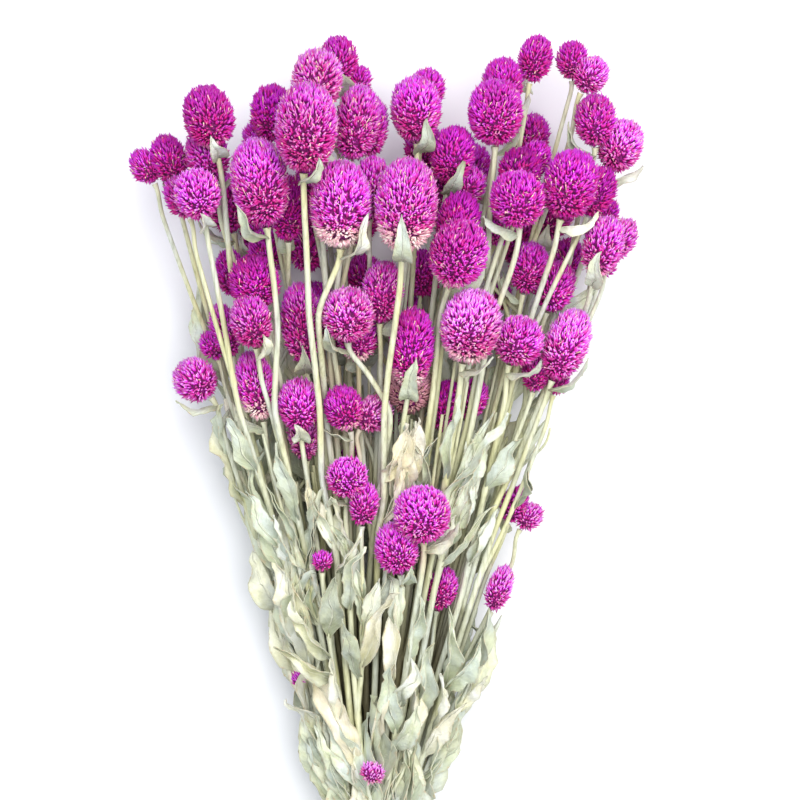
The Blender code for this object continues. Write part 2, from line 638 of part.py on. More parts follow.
def head(i):
    """A head of pointed bracts: a ball whose points stand out and sink in by turns."""
    columns, rows = next(size for width, *size in HEAD_MESH if WIDTH[i] >= width)
    spin = random.Random(i).uniform(0, math.tau)
    shape = bmesh.new()
    bmesh.ops.create_uvsphere(shape, u_segments=columns, v_segments=rows, radius=1)
    bmesh.ops.rotate(shape, verts=shape.verts, matrix=Matrix.Rotation(math.pi / columns, 3, "Z"))
    for v in shape.verts:
        polar = math.acos(max(-1, min(1, v.co.z)))
        turn = math.atan2(v.co.y, v.co.x)
        row = round(polar / math.pi * rows)
        column = round(turn / math.tau * columns - 0.5)
        raised = 0 < row < rows - 1 and (row + column) % 2 == 0
        out = math.sin(polar) ** HEAD_FULLNESS if 0 < row < rows else 0.0
        out *= 1 if raised else HEAD_VALLEY
        up = math.cos(polar) + (HEAD_SHIFT if raised and row > 1 else 0)
        if row == 0:
            up = HEAD_TOP
        elif row >= rows - 1:
            up = -1
            out *= HEAD_FOOT
        across = Vector((math.cos(turn + spin), math.sin(turn + spin), 0)) * out * WIDTH[i] / 2
        v.co = across + Vector((0, 0, up * HEIGHT[i] / 2))
    bmesh.ops.triangulate(shape, faces=shape.faces, quad_method="SHORT_EDGE")
    upright = Vector((0, 0, 1)).rotation_difference(Vector(AXES[i])).to_matrix().to_4x4()
    shape.transform(Matrix.Translation(Vector(MIDDLES[i])) @ upright)
    for v in shape.verts:
        v.co.z = max(v.co.z, 0)
    return finished(f"head {i}", shape)


def rod(name, line, radius):
    """A closed four-sided rod along a line."""
    curve = bpy.data.curves.new(name, "CURVE")
    curve.dimensions = "3D"
    curve.bevel_depth = radius
    curve.bevel_resolution = 0
    curve.use_fill_caps = True
    spline = curve.splines.new("POLY")
    spline.points.add(len(line) - 1)
    for point, place in zip(spline.points, line):
        point.co = (*place, 1)
    guide = bpy.data.objects.new(name, curve)
    mesh = bpy.data.meshes.new_from_object(guide)
    bpy.data.objects.remove(guide)
    shape = bmesh.new()
    shape.from_mesh(mesh)
    bpy.data.meshes.remove(mesh)
    bmesh.ops.remove_doubles(shape, verts=shape.verts, dist=1e-4)
    return finished(name, shape)


def thickened(name, shape):
    obj = finished(name, shape)
    thicken = obj.modifiers.new("Thicken", "SOLIDIFY")
    thicken.thickness = BLADE * MM
    thicken.offset = 0
    applied(obj, thicken)
    return obj


def leaf_object(name, leaf):
    """A thin leaf folded up along its midrib, its edges waved."""
    shape = bmesh.new()
    fold = Vector(blade_normal(leaf)) * leaf.fold
    side = Vector(leaf.side)
    rows = []
    for k, (point, half) in enumerate(zip(leaf.points, leaf.halves)):
        wave = LEAF_WAVE * (-1) ** k
        middle = Vector(point)
        left = middle + (fold * (1 + wave) - side) * half
        right = middle + (fold * (1 - wave) + side) * half
        places = (left, middle, right) if half else (middle,)
        rows.append([shape.verts.new(place) for place in places])
    root, tip = rows[0][0], rows[-1][0]
    for a, b in ((0, 1), (1, 2)):
        shape.faces.new((root, rows[1][b], rows[1][a]))
        shape.faces.new((tip, rows[-2][a], rows[-2][b]))
        for near, far in zip(rows[1:-2], rows[2:-1]):
            shape.faces.new((near[a], near[b], far[1]))
            shape.faces.new((near[a], far[1], far[0]) if a == 0 else (near[b], far[2], far[1]))
    return thickened(name, shape)


def bract_object(name, bract):
    """A small pointed bract, bent where it turns up the side of its head."""
    shape = bmesh.new()
    root, elbow, tip = (Vector(point) for point in bract.points)
    side = Vector(bract.side) * bract.halves[1]
    places = (root, elbow - side, elbow + side, tip)
    root, left, right, tip = (shape.verts.new(place) for place in places)
    shape.faces.new((root, right, left))
    shape.faces.new((left, right, tip))
    return thickened(name, shape)


def web(a, b):
    """A bar between two neighbouring stems of a node, under the twine where they press together."""
    ends = [np.array([SLOTS[n][0], 0, SLOTS[n][1] + TIE_HEIGHT]) for n in (a, b)]
    across = ends[1] - ends[0]
    size = (np.linalg.norm(across), TIE_HALF * (1.8 - 0.1 * (a % 4)), STEM_RADIUS)
    shape = bmesh.new()
    bmesh.ops.create_cube(shape, size=1)
    bmesh.ops.scale(shape, verts=shape.verts, vec=size)
    turn = Matrix.Rotation(-math.atan2(across[2], across[0]), 4, "Y")
    shape.transform(Matrix.Translation(Vector((ends[0] + ends[1]) / 2)) @ turn)
    return finished(f"web {a}", shape)


def stems_node(number, colour):
    """The stems of one node with their branches, leaves and bracts."""
    slots = [n for n, node in enumerate(SLOT_NODE) if node == number]
    stems = [i for i in range(COUNT) if SLOT_OF[i] in slots]
    stems.sort(key=lambda i: (PARENT[i] != i, i))
    pieces = [rod(f"stem {i}", LINES[i], STEM_RADIUS * (1 - 0.03 * (i % 3))) for i in stems]
    pieces += [web(a, b) for a, b in zip(slots[:-1], slots[1:])]
    pieces += [leaf_object("leaf", leaf) for leaf in FOLIAGE.leaves if leaf.stem in stems]
    pieces += [bract_object("bract", bract) for bract in FOLIAGE.bracts if bract.stem in stems]
    return fused(f"leafy_stems_{number + 1:02}", pieces, colour)


def twine_ring():
    """Turns of twine side by side, as one ring that rests on a flat of its middle turn."""
    profile = [(TIE_INSIDE, -TIE_HALF + 0.4), (TIE_OUTSIDE - TWINE_GROOVE, -TIE_HALF)]
    for turn in range(TURNS):
        middle = TWINE * (turn + 0.5) - TIE_HALF
        crest = REST_FLAT if turn == TURNS // 2 else (0,)
        profile += [(TIE_OUTSIDE, middle + reach) for reach in crest]
        profile.append((TIE_OUTSIDE - TWINE_GROOVE, middle + TWINE / 2))
    profile.append((TIE_INSIDE, TIE_HALF - 0.4))
    shape = bmesh.new()
    points = [shape.verts.new((0, y, -radius)) for radius, y in profile]
    edges = [shape.edges.new(ends) for ends in zip(points, points[1:] + points[:1])]
    half_side = Matrix.Rotation(math.pi / TIE_SIDES, 3, "Y")
    bmesh.ops.rotate(shape, verts=shape.verts, matrix=half_side)
    bmesh.ops.spin(
        shape, geom=points + edges, axis=(0, 1, 0), cent=(0, 0, 0),
        angle=math.tau, steps=TIE_SIDES, use_merge=True,
    )
    bmesh.ops.translate(shape, verts=shape.verts, vec=(0, 0, TIE_HEIGHT))
    return finished("ring", shape)


def twine_tie(colour):
    """The twine: its turns round the stems, and a knot with two short ends on top."""
    top = TIE_HEIGHT + TIE_OUTSIDE
    knot = bmesh.new()
    bmesh.ops.create_icosphere(knot, subdivisions=1, radius=TWINE * 1.25)
    bmesh.ops.translate(knot, verts=knot.verts, vec=(0, 0, top + TWINE * 0.3))
    pieces = [twine_ring(), finished("knot", knot)]
    for reach in (-24, 19):
        long = abs(reach)
        end = [
            (0, 0, top + TWINE * 0.3),
            (reach * 0.35, -long * 0.15, top + TWINE * 0.6),
            (reach * 0.75, -long * 0.42, top - TWINE * 1.1),
            (reach, -long * 0.8, top - TWINE * 2.6),
        ]
        pieces.append(rod("end", end, TWINE * 0.45))
    return fused("twine_tie", pieces, colour)


def main():
    clear_scene()
    magenta = material("dried_bloom", (0.47, 0.015, 0.36), 0.8)
    green = material("dried_stem_and_leaf", (0.5, 0.52, 0.36), 0.85)
    jute = material("jute_twine", (0.42, 0.28, 0.14), 0.95)
    for number in range(len(CLUSTERS)):
        heads = [head(i) for i in range(COUNT) if GROUP[i] == number]
        fused(f"bloom_{number + 1:02}", heads, magenta)
    for number in range(max(SLOT_NODE) + 1):
        stems_node(number, green)
    twine_tie(jute)


main()
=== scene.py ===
import math
import random
from collections import namedtuple

import bmesh
import bpy
import numpy as np
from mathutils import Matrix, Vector, noise
from mathutils.geometry import interpolate_bezier


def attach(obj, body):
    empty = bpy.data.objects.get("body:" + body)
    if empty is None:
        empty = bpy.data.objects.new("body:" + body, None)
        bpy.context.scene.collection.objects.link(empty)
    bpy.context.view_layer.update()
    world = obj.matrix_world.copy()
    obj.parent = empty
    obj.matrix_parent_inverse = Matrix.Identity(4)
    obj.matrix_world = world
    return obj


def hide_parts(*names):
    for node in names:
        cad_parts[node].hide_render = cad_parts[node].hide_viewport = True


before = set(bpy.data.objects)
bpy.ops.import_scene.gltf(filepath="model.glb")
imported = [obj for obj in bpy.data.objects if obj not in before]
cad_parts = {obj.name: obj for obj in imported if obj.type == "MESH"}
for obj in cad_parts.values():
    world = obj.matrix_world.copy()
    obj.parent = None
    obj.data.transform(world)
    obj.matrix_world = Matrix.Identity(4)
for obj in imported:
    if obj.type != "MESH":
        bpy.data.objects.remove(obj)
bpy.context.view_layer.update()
bpy.ops.object.select_all(action="DESELECT")

# Flower heads
# A head is a dense egg of stiff, papery, pointed bracts that overlap upwards in a spiral, with tiny
# cream florets between them. It grew on its stem. The bracts are vivid magenta, redder low on the
# head and pale pink at its foot, with painted shade where they are packed: dark at their roots and
# on the core between them.

# How the bunch lies: the stems are held side by side by the twine and spread from it like a fan,
# until the heads press against each other. The bunch lies down, so its lowest heads and the twine
# carry it. Its places are in millimetres: across, up from the twine, and above the surface.
MM = 0.001
STEM_RADIUS = 1.4
STEM_PITCH = 3.3
STEM_EASE = 0.9
EASE_STEP = 0.3
STEM_SLACK = 0.75
CUT_LENGTH = 68.0
CUT_VARIATION = 7.0
CUT_PACE = 2.4
CUT_SPREAD = 0.14
TWINE = 2.2
TURNS = 5
TIE_HALF = TURNS * TWINE / 2
TIE_SIDES = 16
SEAT_GAP = 0.35

# How the bunch spreads above the twine: what each millimetre adds to half its width and half its
# depth, and how far its middle rises from the surface
FAN_WIDTH = 0.29
FAN_DEPTH = 0.091
FAN_RISE = 0.092

# How many nodes each ring of stems is shared between, from the middle outwards
RING_GROUPS = (1, 2, 3, 6)

Bloom = namedtuple("Bloom", "across up depth width height lean nod own", defaults=(0, 0, 0))

# The flower heads in millimetres from the tie, each row one group of heads that press together.
# depth is the share of the bunch's half thickness above (+) or below (-) its middle, lean tips a
# head to the right and nod tips it upwards, in degrees, and own gives a head its own cut stem.
CLUSTERS = (
    (Bloom(-16, 357, -0.2, 18, 23, -4), Bloom(-5, 347, -0.2, 12, 14, 14)),
    (Bloom(-73, 331, 0.6, 23, 29, -6), Bloom(-74, 309, 0.45, 20, 24, -10)),
    (Bloom(-74, 298, 0.95, 21, 24, -6, 32), Bloom(-87, 294, 0.5, 15, 20, -14)),
    (Bloom(-90, 312, 0.1, 17, 23, -6), Bloom(-101, 309, 0.0, 14, 17, -20)),
    (Bloom(-46, 332, 0.0, 20, 26, 6), Bloom(-50, 321, -0.1, 14, 18, -12)),
    (Bloom(-28, 323, 1.0, 28, 40, 6, 4), Bloom(-19, 342, 0.6, 23, 28, 8, 0, 1)),
    (Bloom(-9, 324, 0.55, 20, 34, 10), Bloom(0, 326, 0.2, 17, 28, 4)),
    (Bloom(-51, 300, 0.9, 26, 40, -3, 4), Bloom(-36, 290, 0.35, 17, 30, 2, 0, 1)),
    (Bloom(-15, 290, 1.0, 28, 39, 2, 4), Bloom(1, 305, 0.5, 17, 28, 4, 0, 1)),
    (Bloom(26, 345, -0.2, 17, 20, 10), Bloom(19, 329, 0.4, 23, 30, -4, 0, 1)),
    (Bloom(35, 314, 0.3, 20, 27, 6), Bloom(42, 300, 0.2, 16, 18, 16)),
    (Bloom(16, 288, 1.0, 28, 42, 3, 4),),
    (Bloom(33, 268, 1.0, 26, 32, 12, 28), Bloom(38, 288, 0.5, 20, 28, 8, 0, 1)),
    (Bloom(60, 327, 0.5, 25, 30, -6, 8), Bloom(59, 348, -0.1, 19, 24, -4, 0, 1)),
    (Bloom(75, 357, -0.3, 16, 22, 6),),
    (Bloom(89, 357, -0.3, 15, 18, -8), Bloom(96, 347, -0.2, 16, 18, 22)),
    (Bloom(101, 331, 0.0, 19, 24, -10), Bloom(108, 317, 0.1, 20, 25, 12, 6)),
    (Bloom(63, 307, 0.3, 20, 22, 6), Bloom(73, 320, 0.2, 15, 18, 20),
     Bloom(62, 286, 0.85, 25, 26, -12, 20, 1)),
    (Bloom(86, 300, 0.8, 25, 32, 6, 6), Bloom(104, 297, 0.3, 17, 24, 10)),
    (Bloom(98, 275, 0.45, 19, 28, 4), Bloom(110, 277, 0.2, 14, 21, 16)),
    (Bloom(69, 264, 0.0, 18, 24, 4), Bloom(83, 255, 0.1, 18, 24, 8)),
    (Bloom(85, 234, 0.6, 20, 34, 10), Bloom(74, 217, 0.5, 14, 18, 0),
     Bloom(81, 210, 0.45, 10, 14, 8)),
    (Bloom(66, 230, 0.9, 23, 23, 12, 14),),
    (Bloom(43, 237, 1.0, 27, 34, 6, 8),),
    (Bloom(18, 233, 0.85, 20, 37, 2), Bloom(15, 205, 0.4, 21, 24, 2)),
    (Bloom(-11, 247, 0.75, 24, 25, 2, 12), Bloom(3, 252, 0.55, 19, 28, 4),
     Bloom(-6, 228, 0.45, 19, 22, 0)),
    (Bloom(-55, 259, 0.7, 23, 25, -8, 6), Bloom(-51, 237, 0.85, 19, 24, -4, 8)),
    (Bloom(-32, 238, 0.4, 19, 37, 0),),
    (Bloom(-50, 211, 0.6, 18, 32, -4),),
    (Bloom(-66, 236, 0.2, 13, 25, -8), Bloom(-73, 227, 0.1, 12, 14, -12)),
    (Bloom(-32, 206, 0.8, 20, 24, 2), Bloom(-30, 187, 0.3, 15, 24, 0)),
    (Bloom(-12, 200, 0.65, 18, 21, -14), Bloom(1, 200, 0.8, 16, 18, 40)),
    (Bloom(-78, 216, 0.3, 20, 21, -34),),
    (Bloom(-10, 174, 1.05, 19, 19, 4, 34), Bloom(-5, 155, 0.75, 14, 20, 6)),
    (Bloom(33, 201, 0.2, 16, 24, 6), Bloom(45, 206, 0.2, 14, 20, 12)),
    (Bloom(22, 157, 1.25, 26, 26, -8, 12), Bloom(11, 136, 1.0, 20, 24, -12, 4, 1)),
    (Bloom(-22, 133, 1.0, 10, 10, 6),),
    (Bloom(63, 158, 0.2, 13, 18, 6), Bloom(71, 152, 0.2, 12, 14, 24)),
    (Bloom(57, 120, 0.3, 12, 22, 4),),
    (Bloom(31, 120, 0.5, 14, 20, 6),),
    (Bloom(-33, 79, 1.0, 8, 8, -14),),
    (Bloom(0, 38, 1.3, 12, 10, 20, 20),),
    (Bloom(-66, 296, -1.3, 22, 28, -6), Bloom(-52, 280, -1.1, 19, 24, 2)),
    (Bloom(-22, 300, -0.8, 22, 29, -4), Bloom(-6, 288, -0.9, 20, 25, 6)),
    (Bloom(30, 298, -1.0, 21, 28, 2), Bloom(46, 310, -0.7, 18, 24, 10)),
    (Bloom(80, 292, -1.5, 22, 27, 6), Bloom(66, 276, -1.2, 19, 24, 2)),
    (Bloom(-26, 246, -0.8, 20, 26, -4), Bloom(-10, 236, -0.8, 18, 22, 4)),
)


def hex_rings(pitch):
    """Places of a hexagonal packing by ring: the middle with ring 1, rings 2 and 3, and ring 4
    without its corners. Places that follow each other in a ring lie side by side."""
    turns = np.radians(np.arange(0, 360, 60))
    corners = [np.array([math.cos(turn), math.sin(turn)]) * pitch for turn in turns]
    rings = []
    for ring in range(1, 5):
        places = []
        for side in range(6):
            step = corners[(side + 1) % 6] - corners[side]
            places += [corners[side] * ring + step * k for k in range(ring) if ring < 4 or k > 0]
        rings.append(places)
    rings[0].insert(0, np.zeros(2))
    return rings


# The place of each cut stem in the tie, and the node that it belongs to
SLOTS, SLOT_NODE = [], []
for places, shares in zip(hex_rings(STEM_PITCH), RING_GROUPS):
    first_node = max(SLOT_NODE, default=-1) + 1
    for count, place in enumerate(places):
        SLOTS.append(place)
        SLOT_NODE.append(first_node + count * shares // len(places))
SLOTS = np.array(SLOTS)
BUNDLE_RADIUS = np.linalg.norm(SLOTS, axis=1).max() + STEM_RADIUS
TIE_INSIDE = (BUNDLE_RADIUS + SEAT_GAP) / math.cos(math.pi / TIE_SIDES)
TIE_OUTSIDE = TIE_INSIDE + TWINE
TIE_HEIGHT = TIE_OUTSIDE * math.cos(math.pi / TIE_SIDES)

# One row for each head, with its group and the head that its stem forks from (itself if cut)
BLOOMS = [bloom for cluster in CLUSTERS for bloom in cluster]
COUNT = len(BLOOMS)
ACROSS, UP, DEPTH, WIDTH, HEIGHT, LEAN, NOD, OWN = np.array(BLOOMS, float).T
GROUP = np.array([n for n, cluster in enumerate(CLUSTERS) for _ in cluster])
FIRST = np.array([int(np.argmax(GROUP == n)) for n in GROUP])
PARENT = np.where(OWN > 0, np.arange(COUNT), FIRST)
CUT = np.flatnonzero(PARENT == np.arange(COUNT))
BRANCHES = np.flatnonzero(PARENT != np.arange(COUNT))

# Three balls stand for a head: where they lie up its axis, in millimetres from its middle
BALL_PLACES = np.array([-0.45, 0, 0.45])
BALLS = np.maximum(HEIGHT - WIDTH, 0)[:, None] * BALL_PLACES

# How much a head follows the slant of its stem, and how much depth a head keeps at the sides
HEAD_SLANT = 0.6
LEAST_ROUNDING = 0.15


def middle_height(up):
    """How high the middle of the bunch lies above the surface."""
    return TIE_HEIGHT + FAN_RISE * np.maximum(up, 0)


def half_width(up):
    return BUNDLE_RADIUS + FAN_WIDTH * np.maximum(up, 0)


def half_depth(up):
    return BUNDLE_RADIUS + FAN_DEPTH * np.maximum(up, 0)


def unit(vectors):
    """One vector or a row of them, made one long."""
    return vectors / np.linalg.norm(vectors, axis=-1, keepdims=True)


def lengths(vectors):
    """How long vectors are, never quite nothing."""
    return np.sqrt((vectors ** 2).sum(2)) + 1e-9


def wanted_middles():
    """Where the middle of each head would lie with nothing in its way."""
    rounding = np.sqrt(np.maximum(1 - (ACROSS / half_width(UP)) ** 2, LEAST_ROUNDING))
    high = middle_height(UP) + DEPTH * half_depth(UP) * rounding
    return np.stack([ACROSS, UP, high], axis=1)


def head_axes(middles, lean, nod):
    """Unit vectors up heads: along their stems, tipped by their own lean and nod in degrees."""
    slants = HEAD_SLANT * (middles[:, [0, 2]] - [0, TIE_HEIGHT]) / middles[:, 1:2]
    across = slants[:, 0] + np.tan(np.radians(lean))
    high = slants[:, 1] + np.tan(np.radians(nod))
    return unit(np.stack([across, np.ones(len(middles)), high], axis=1))


def matched_slots(middles):
    """The slot of each cut stem, swapped until no two stems want to cross."""
    slopes = (middles[CUT][:, [0, 2]] - [0, TIE_HEIGHT]) / middles[CUT][:, 1:2]
    slot = np.arange(len(CUT))
    swapped = True
    while swapped:
        swapped = False
        for i in range(len(CUT)):
            for j in range(i + 1, len(CUT)):
                if (SLOTS[slot[i]] - SLOTS[slot[j]]) @ (slopes[i] - slopes[j]) < -1e-9:
                    slot[i], slot[j] = slot[j], slot[i]
                    swapped = True
    return slot


class Bunch:
    """The heads and stems as they settle until nothing overlaps.

    Each stem is a row of points across and up, one at each level above the tie. A branch shares its
    parent's points as far as its fork.
    """

    ROUNDS = 440
    LEVELS = 60
    LEVEL_STEP = 6.0
    FIRST_LEVEL = TIE_HALF + 3
    BELOW_TIE = 2
    NECK = 7.0
    NECK_TOP = 2.5
    NECK_BEND = 0.6
    FORK_DROP = 62.0
    FORK_STAGGER = 5
    FORK_LOWEST = 24.0
    FORK_OPENS = 4
    CLEARANCE = 0.6
    STEM_CLEARANCE = 0.9
    PRESS = 4.4
    FLAT = 0.9
    NECK_LIFT = 0.4
    STEM_LIFT = 0.6

    # Five balls stand for a head and its neck, the first three for the head
    EACH = 5
    IN_HEAD = 3

    # How much of each overlap, gap or bend one round takes away
    HOMING = 0.1
    HEAD_PUSH = 0.3
    HEAD_PULL = 0.5
    HEAD_YIELD = 0.1
    STEM_PUSH = 0.7
    STEM_PART = 0.4
    STRAIGHTENING = 0.5

    def __init__(self):
        self.wanted = wanted_middles()
        self.middles = self.wanted.copy()
        self.axes = head_axes(self.wanted, LEAN, NOD)
        self.slot_of = np.zeros(COUNT, int)
        self.slot_of[CUT] = matched_slots(self.wanted)
        self.slot_of = self.slot_of[PARENT]
        self.slots = SLOTS[self.slot_of] + [0, TIE_HEIGHT]
        self.set_balls()
        self.set_levels()

    def set_balls(self):
        """The balls of each head and its neck, and how near they may come to each other."""
        necks = -HEIGHT[:, None] / 2 - np.array([self.NECK_TOP, self.NECK])
        self.offsets = np.concatenate([BALLS, necks], axis=1)
        neck_radius = np.full(COUNT, STEM_RADIUS + 0.1)
        self.radius = np.stack([WIDTH / 2] * self.IN_HEAD + [neck_radius] * 2, axis=1).ravel()
        self.owner = np.repeat(np.arange(COUNT), self.EACH)
        in_head = np.tile(np.arange(self.EACH) < self.IN_HEAD, COUNT)
        group = GROUP[self.owner]
        pressed = (group[:, None] == group[None]) & in_head[:, None] & in_head[None]
        self.reach = self.radius[:, None] + self.radius[None]
        self.reach += np.where(pressed, -self.PRESS, self.CLEARANCE)
        self.reach[self.owner[:, None] == self.owner[None]] = 0
        self.lowest = np.where(in_head, self.radius - self.FLAT, self.radius + self.NECK_LIFT)

    def set_levels(self):
        """The first points of every stem, straight from its slot to its head."""
        feet = self.feet()
        self.levels = self.FIRST_LEVEL + self.LEVEL_STEP * np.arange(self.LEVELS)
        start = self.levels[0]
        self.top = ((feet[:, 1] - self.NECK - start) // self.LEVEL_STEP).astype(int).clip(1)
        self.fork = np.zeros(COUNT, int)
        for i in BRANCHES:
            low = min(feet[i, 1], feet[PARENT[i], 1]) - self.FORK_DROP - self.FORK_STAGGER * (i % 4)
            self.fork[i] = int((max(low, self.FORK_LOWEST) - start) // self.LEVEL_STEP)
        share = ((self.levels - start)[None] / (feet[:, 1] - start)[:, None]).clip(0, 1)
        way = feet[:, [0, 2]] - self.slots
        self.stems = self.slots[:, None] + way[:, None] * share[..., None]
        level = np.arange(len(self.levels))[None]
        self.above = level > self.top[:, None]
        self.shared = level <= self.fork[:, None]
        self.live = ~self.above & ~self.shared

    def feet(self):
        """Where each stem ends, just under its head."""
        return self.middles - self.axes * (HEIGHT / 2 + SEAT_GAP)[:, None]

    def balls(self):
        return (self.middles[:, None] + self.axes[:, None] * self.offsets[..., None]).reshape(-1, 3)

    def part_heads(self):
        """Heads push each other apart, and those of one group pull together."""
        balls = self.balls()
        apart = balls[:, None] - balls[None]
        distance = lengths(apart)
        push = np.maximum(self.reach - distance, 0) / distance
        np.add.at(self.middles, self.owner, (apart * push[..., None]).sum(1) * self.HEAD_PUSH)
        for i in np.flatnonzero(FIRST != np.arange(COUNT)):
            a, b = self.EACH * i, self.EACH * FIRST[i]
            gaps = (distance - self.reach)[a : a + self.IN_HEAD, b : b + self.IN_HEAD]
            k, m = np.unravel_index(np.argmin(gaps), gaps.shape)
            if gaps[k, m] > 0:
                pull = apart[a + k, b + m] / distance[a + k, b + m] * gaps[k, m] * self.HEAD_PULL
                self.middles[i] -= pull
                self.middles[FIRST[i]] += pull

    def rest_on_surface(self):
        sunk = np.maximum(self.lowest - self.balls()[:, 2], 0).reshape(-1, self.EACH).max(1)
        self.middles[:, 2] += sunk

    def part_stems(self, n, balls):
        """At one level, stems keep clear of the heads and then of each other."""
        on = np.flatnonzero(self.live[:, n])
        reach = self.radius + STEM_RADIUS + self.STEM_CLEARANCE
        room = reach ** 2 - (balls[:, 1] - self.levels[n]) ** 2
        near = np.flatnonzero(room > 0)
        if len(near):
            apart = self.stems[on, n][:, None] - balls[near][None][:, :, [0, 2]]
            distance = lengths(apart)
            over = np.maximum(np.sqrt(room[near])[None] - distance, 0)
            over[on[:, None] == self.owner[near][None]] = 0
            push = apart * (over / distance)[..., None]
            self.stems[on, n] += push.sum(1) * self.STEM_PUSH
            np.add.at(self.middles[:, 0], self.owner[near], -self.HEAD_YIELD * push[..., 0].sum(0))
            np.add.at(self.middles[:, 2], self.owner[near], -self.HEAD_YIELD * push[..., 1].sum(0))
        here = self.stems[on, n]
        apart = here[:, None] - here[None]
        distance = lengths(apart)
        kin = PARENT[on][:, None] == PARENT[on][None]
        rise = n - np.maximum(self.fork[on][:, None], self.fork[on][None])
        opened = np.where(kin, (rise / self.FORK_OPENS).clip(0, 1), 1)
        need = (STEM_PITCH + min(EASE_STEP * n, STEM_EASE)) * opened
        over = np.maximum(need - distance, 0)
        np.fill_diagonal(over, 0)
        self.stems[on, n] += (apart * (over / distance)[..., None]).sum(1) * self.STEM_PART

    def smooth_stems(self, calm):
        """Stems stay smooth, fixed to their slots and their heads."""
        self.stems[..., 1] = np.maximum(self.stems[..., 1], STEM_RADIUS + self.STEM_LIFT)
        self.stems = np.where(self.above[..., None], self.feet()[:, None, [0, 2]], self.stems)
        self.stems = np.where(self.shared[..., None], self.stems[PARENT], self.stems)
        self.stems[:, 0] = self.slots
        bend = (self.stems[:, :-2] + self.stems[:, 2:]) / 2 - self.stems[:, 1:-1]
        self.stems[:, 1:-1] += bend * (self.STRAIGHTENING * calm * self.live[:, 1:-1])[..., None]

    def settle(self):
        for turn in range(self.ROUNDS):
            calm = 1 - turn / self.ROUNDS
            self.middles += self.HOMING * calm * (self.wanted - self.middles)
            self.part_heads()
            self.rest_on_surface()
            balls = self.balls()
            for n in range(1, int(self.top.max()) + 1):
                self.part_stems(n, balls)
            self.smooth_stems(calm)
        return self

    def line(self, i, slack):
        """Points up stem i, from its cut end or its fork to the foot of its head."""
        foot, axis = self.feet()[i], self.axes[i]
        neck = foot - axis * self.NECK * self.NECK_BEND
        first = self.fork[i] if PARENT[i] != i else 0
        last = neck[1] - self.NECK_TOP
        levels = [n for n in range(first, self.top[i] + 1) if self.levels[n] < last]
        line = [(self.stems[i, n, 0], self.levels[n], self.stems[i, n, 1]) for n in levels]
        line = simpler(np.array(line + [neck, foot]), slack)
        if PARENT[i] == i:
            x, z = SLOTS[self.slot_of[i]]
            cut = CUT_LENGTH + CUT_VARIATION * math.sin(CUT_PACE * i)
            spread = 1 + CUT_SPREAD
            end = (x * spread, -cut, TIE_HEIGHT + z * spread)
            line = [end, (x, -TIE_HALF - self.BELOW_TIE, TIE_HEIGHT + z)] + line
        return np.array(line)


def simpler(line, slack):
    """The points of a line that it can't lose without moving by more than slack."""
    start, end = line[0], line[-1]
    if len(line) < 3:
        return [start, end]
    along = unit(end - start)
    offset = line - start
    away = np.linalg.norm(offset - np.outer(offset @ along, along), axis=1)
    worst = int(np.argmax(away))
    if away[worst] <= slack:
        return [start, end]
    return simpler(line[: worst + 1], slack)[:-1] + simpler(line[worst:], slack)


def evenly(line, step):
    """Points along a line, no further apart than step, and the last point."""
    points = []
    for a, b in zip(line[:-1], line[1:]):
        count = max(1, math.ceil(np.linalg.norm(b - a) / step))
        points += [a + (b - a) * k / count for k in range(count)]
    return np.array(points + [line[-1]])


# The bunch as it settled. Its stems are kept as the few points of their solids, as all the points
# they settled with, and as points close together, which leaves grow from and keep clear of.
DENSE_STEP = 2.0
BUNCH = Bunch().settle()
MIDDLES, AXES, SLOT_OF, FEET = BUNCH.middles, BUNCH.axes, BUNCH.slot_of, BUNCH.feet()
LINES = [BUNCH.line(i, STEM_SLACK) for i in range(COUNT)]
WHOLE_LINES = [BUNCH.line(i, 0.0) for i in range(COUNT)]
DENSE = [evenly(line, DENSE_STEP) for line in LINES]

# Smaller heads that lie behind the others on side branches: their middle, their width and height,
# the stem that each branches from, and how far up it does. Their rows come after the others'.
Behind = namedtuple("Behind", "across up high width height stem fork")
BEHIND = (
    Behind(-30, 277, 27, 19, 30, 6, 170), Behind(72, 324, 11, 17, 22, 26, 240),
    Behind(23, 319, 24, 18, 22, 82, 212), Behind(57, 283, 37, 14, 20, 30, 197),
    Behind(88, 268, 15, 16, 21, 28, 195), Behind(-64, 262, 21, 15, 22, 0, 157),
    Behind(-48, 271, 27, 17, 22, 17, 168), Behind(32, 302, 33, 17, 20, 37, 211),
    Behind(22, 262, 21, 20, 22, 15, 153), Behind(83, 234, 9, 15, 17, 39, 153),
    Behind(-23, 240, 33, 15, 24, 20, 136), Behind(-4, 261, 21, 18, 19, 27, 153),
    Behind(106, 290, 9, 13, 14, 38, 209), Behind(14, 243, 12, 18, 22, 6, 133),
    Behind(104, 266, 24, 13, 14, 38, 219), Behind(-28, 303, 33, 15, 18, 11, 256),
    Behind(6, 195, 9, 13, 14, 6, 91), Behind(56, 252, 18, 14, 16, 79, 178),
    Behind(-11, 180, 18, 11, 13, 81, 76),
)

HEADS = BLOOMS + list(BEHIND)
ROWS_BEHIND = np.array(BEHIND, float)
MIDDLES = np.vstack([MIDDLES, ROWS_BEHIND[:, :3]])
AXES = np.vstack([AXES, head_axes(ROWS_BEHIND, 0, 0)])
WIDTH = np.append(WIDTH, ROWS_BEHIND[:, 3])
HEIGHT = np.append(HEIGHT, ROWS_BEHIND[:, 4])

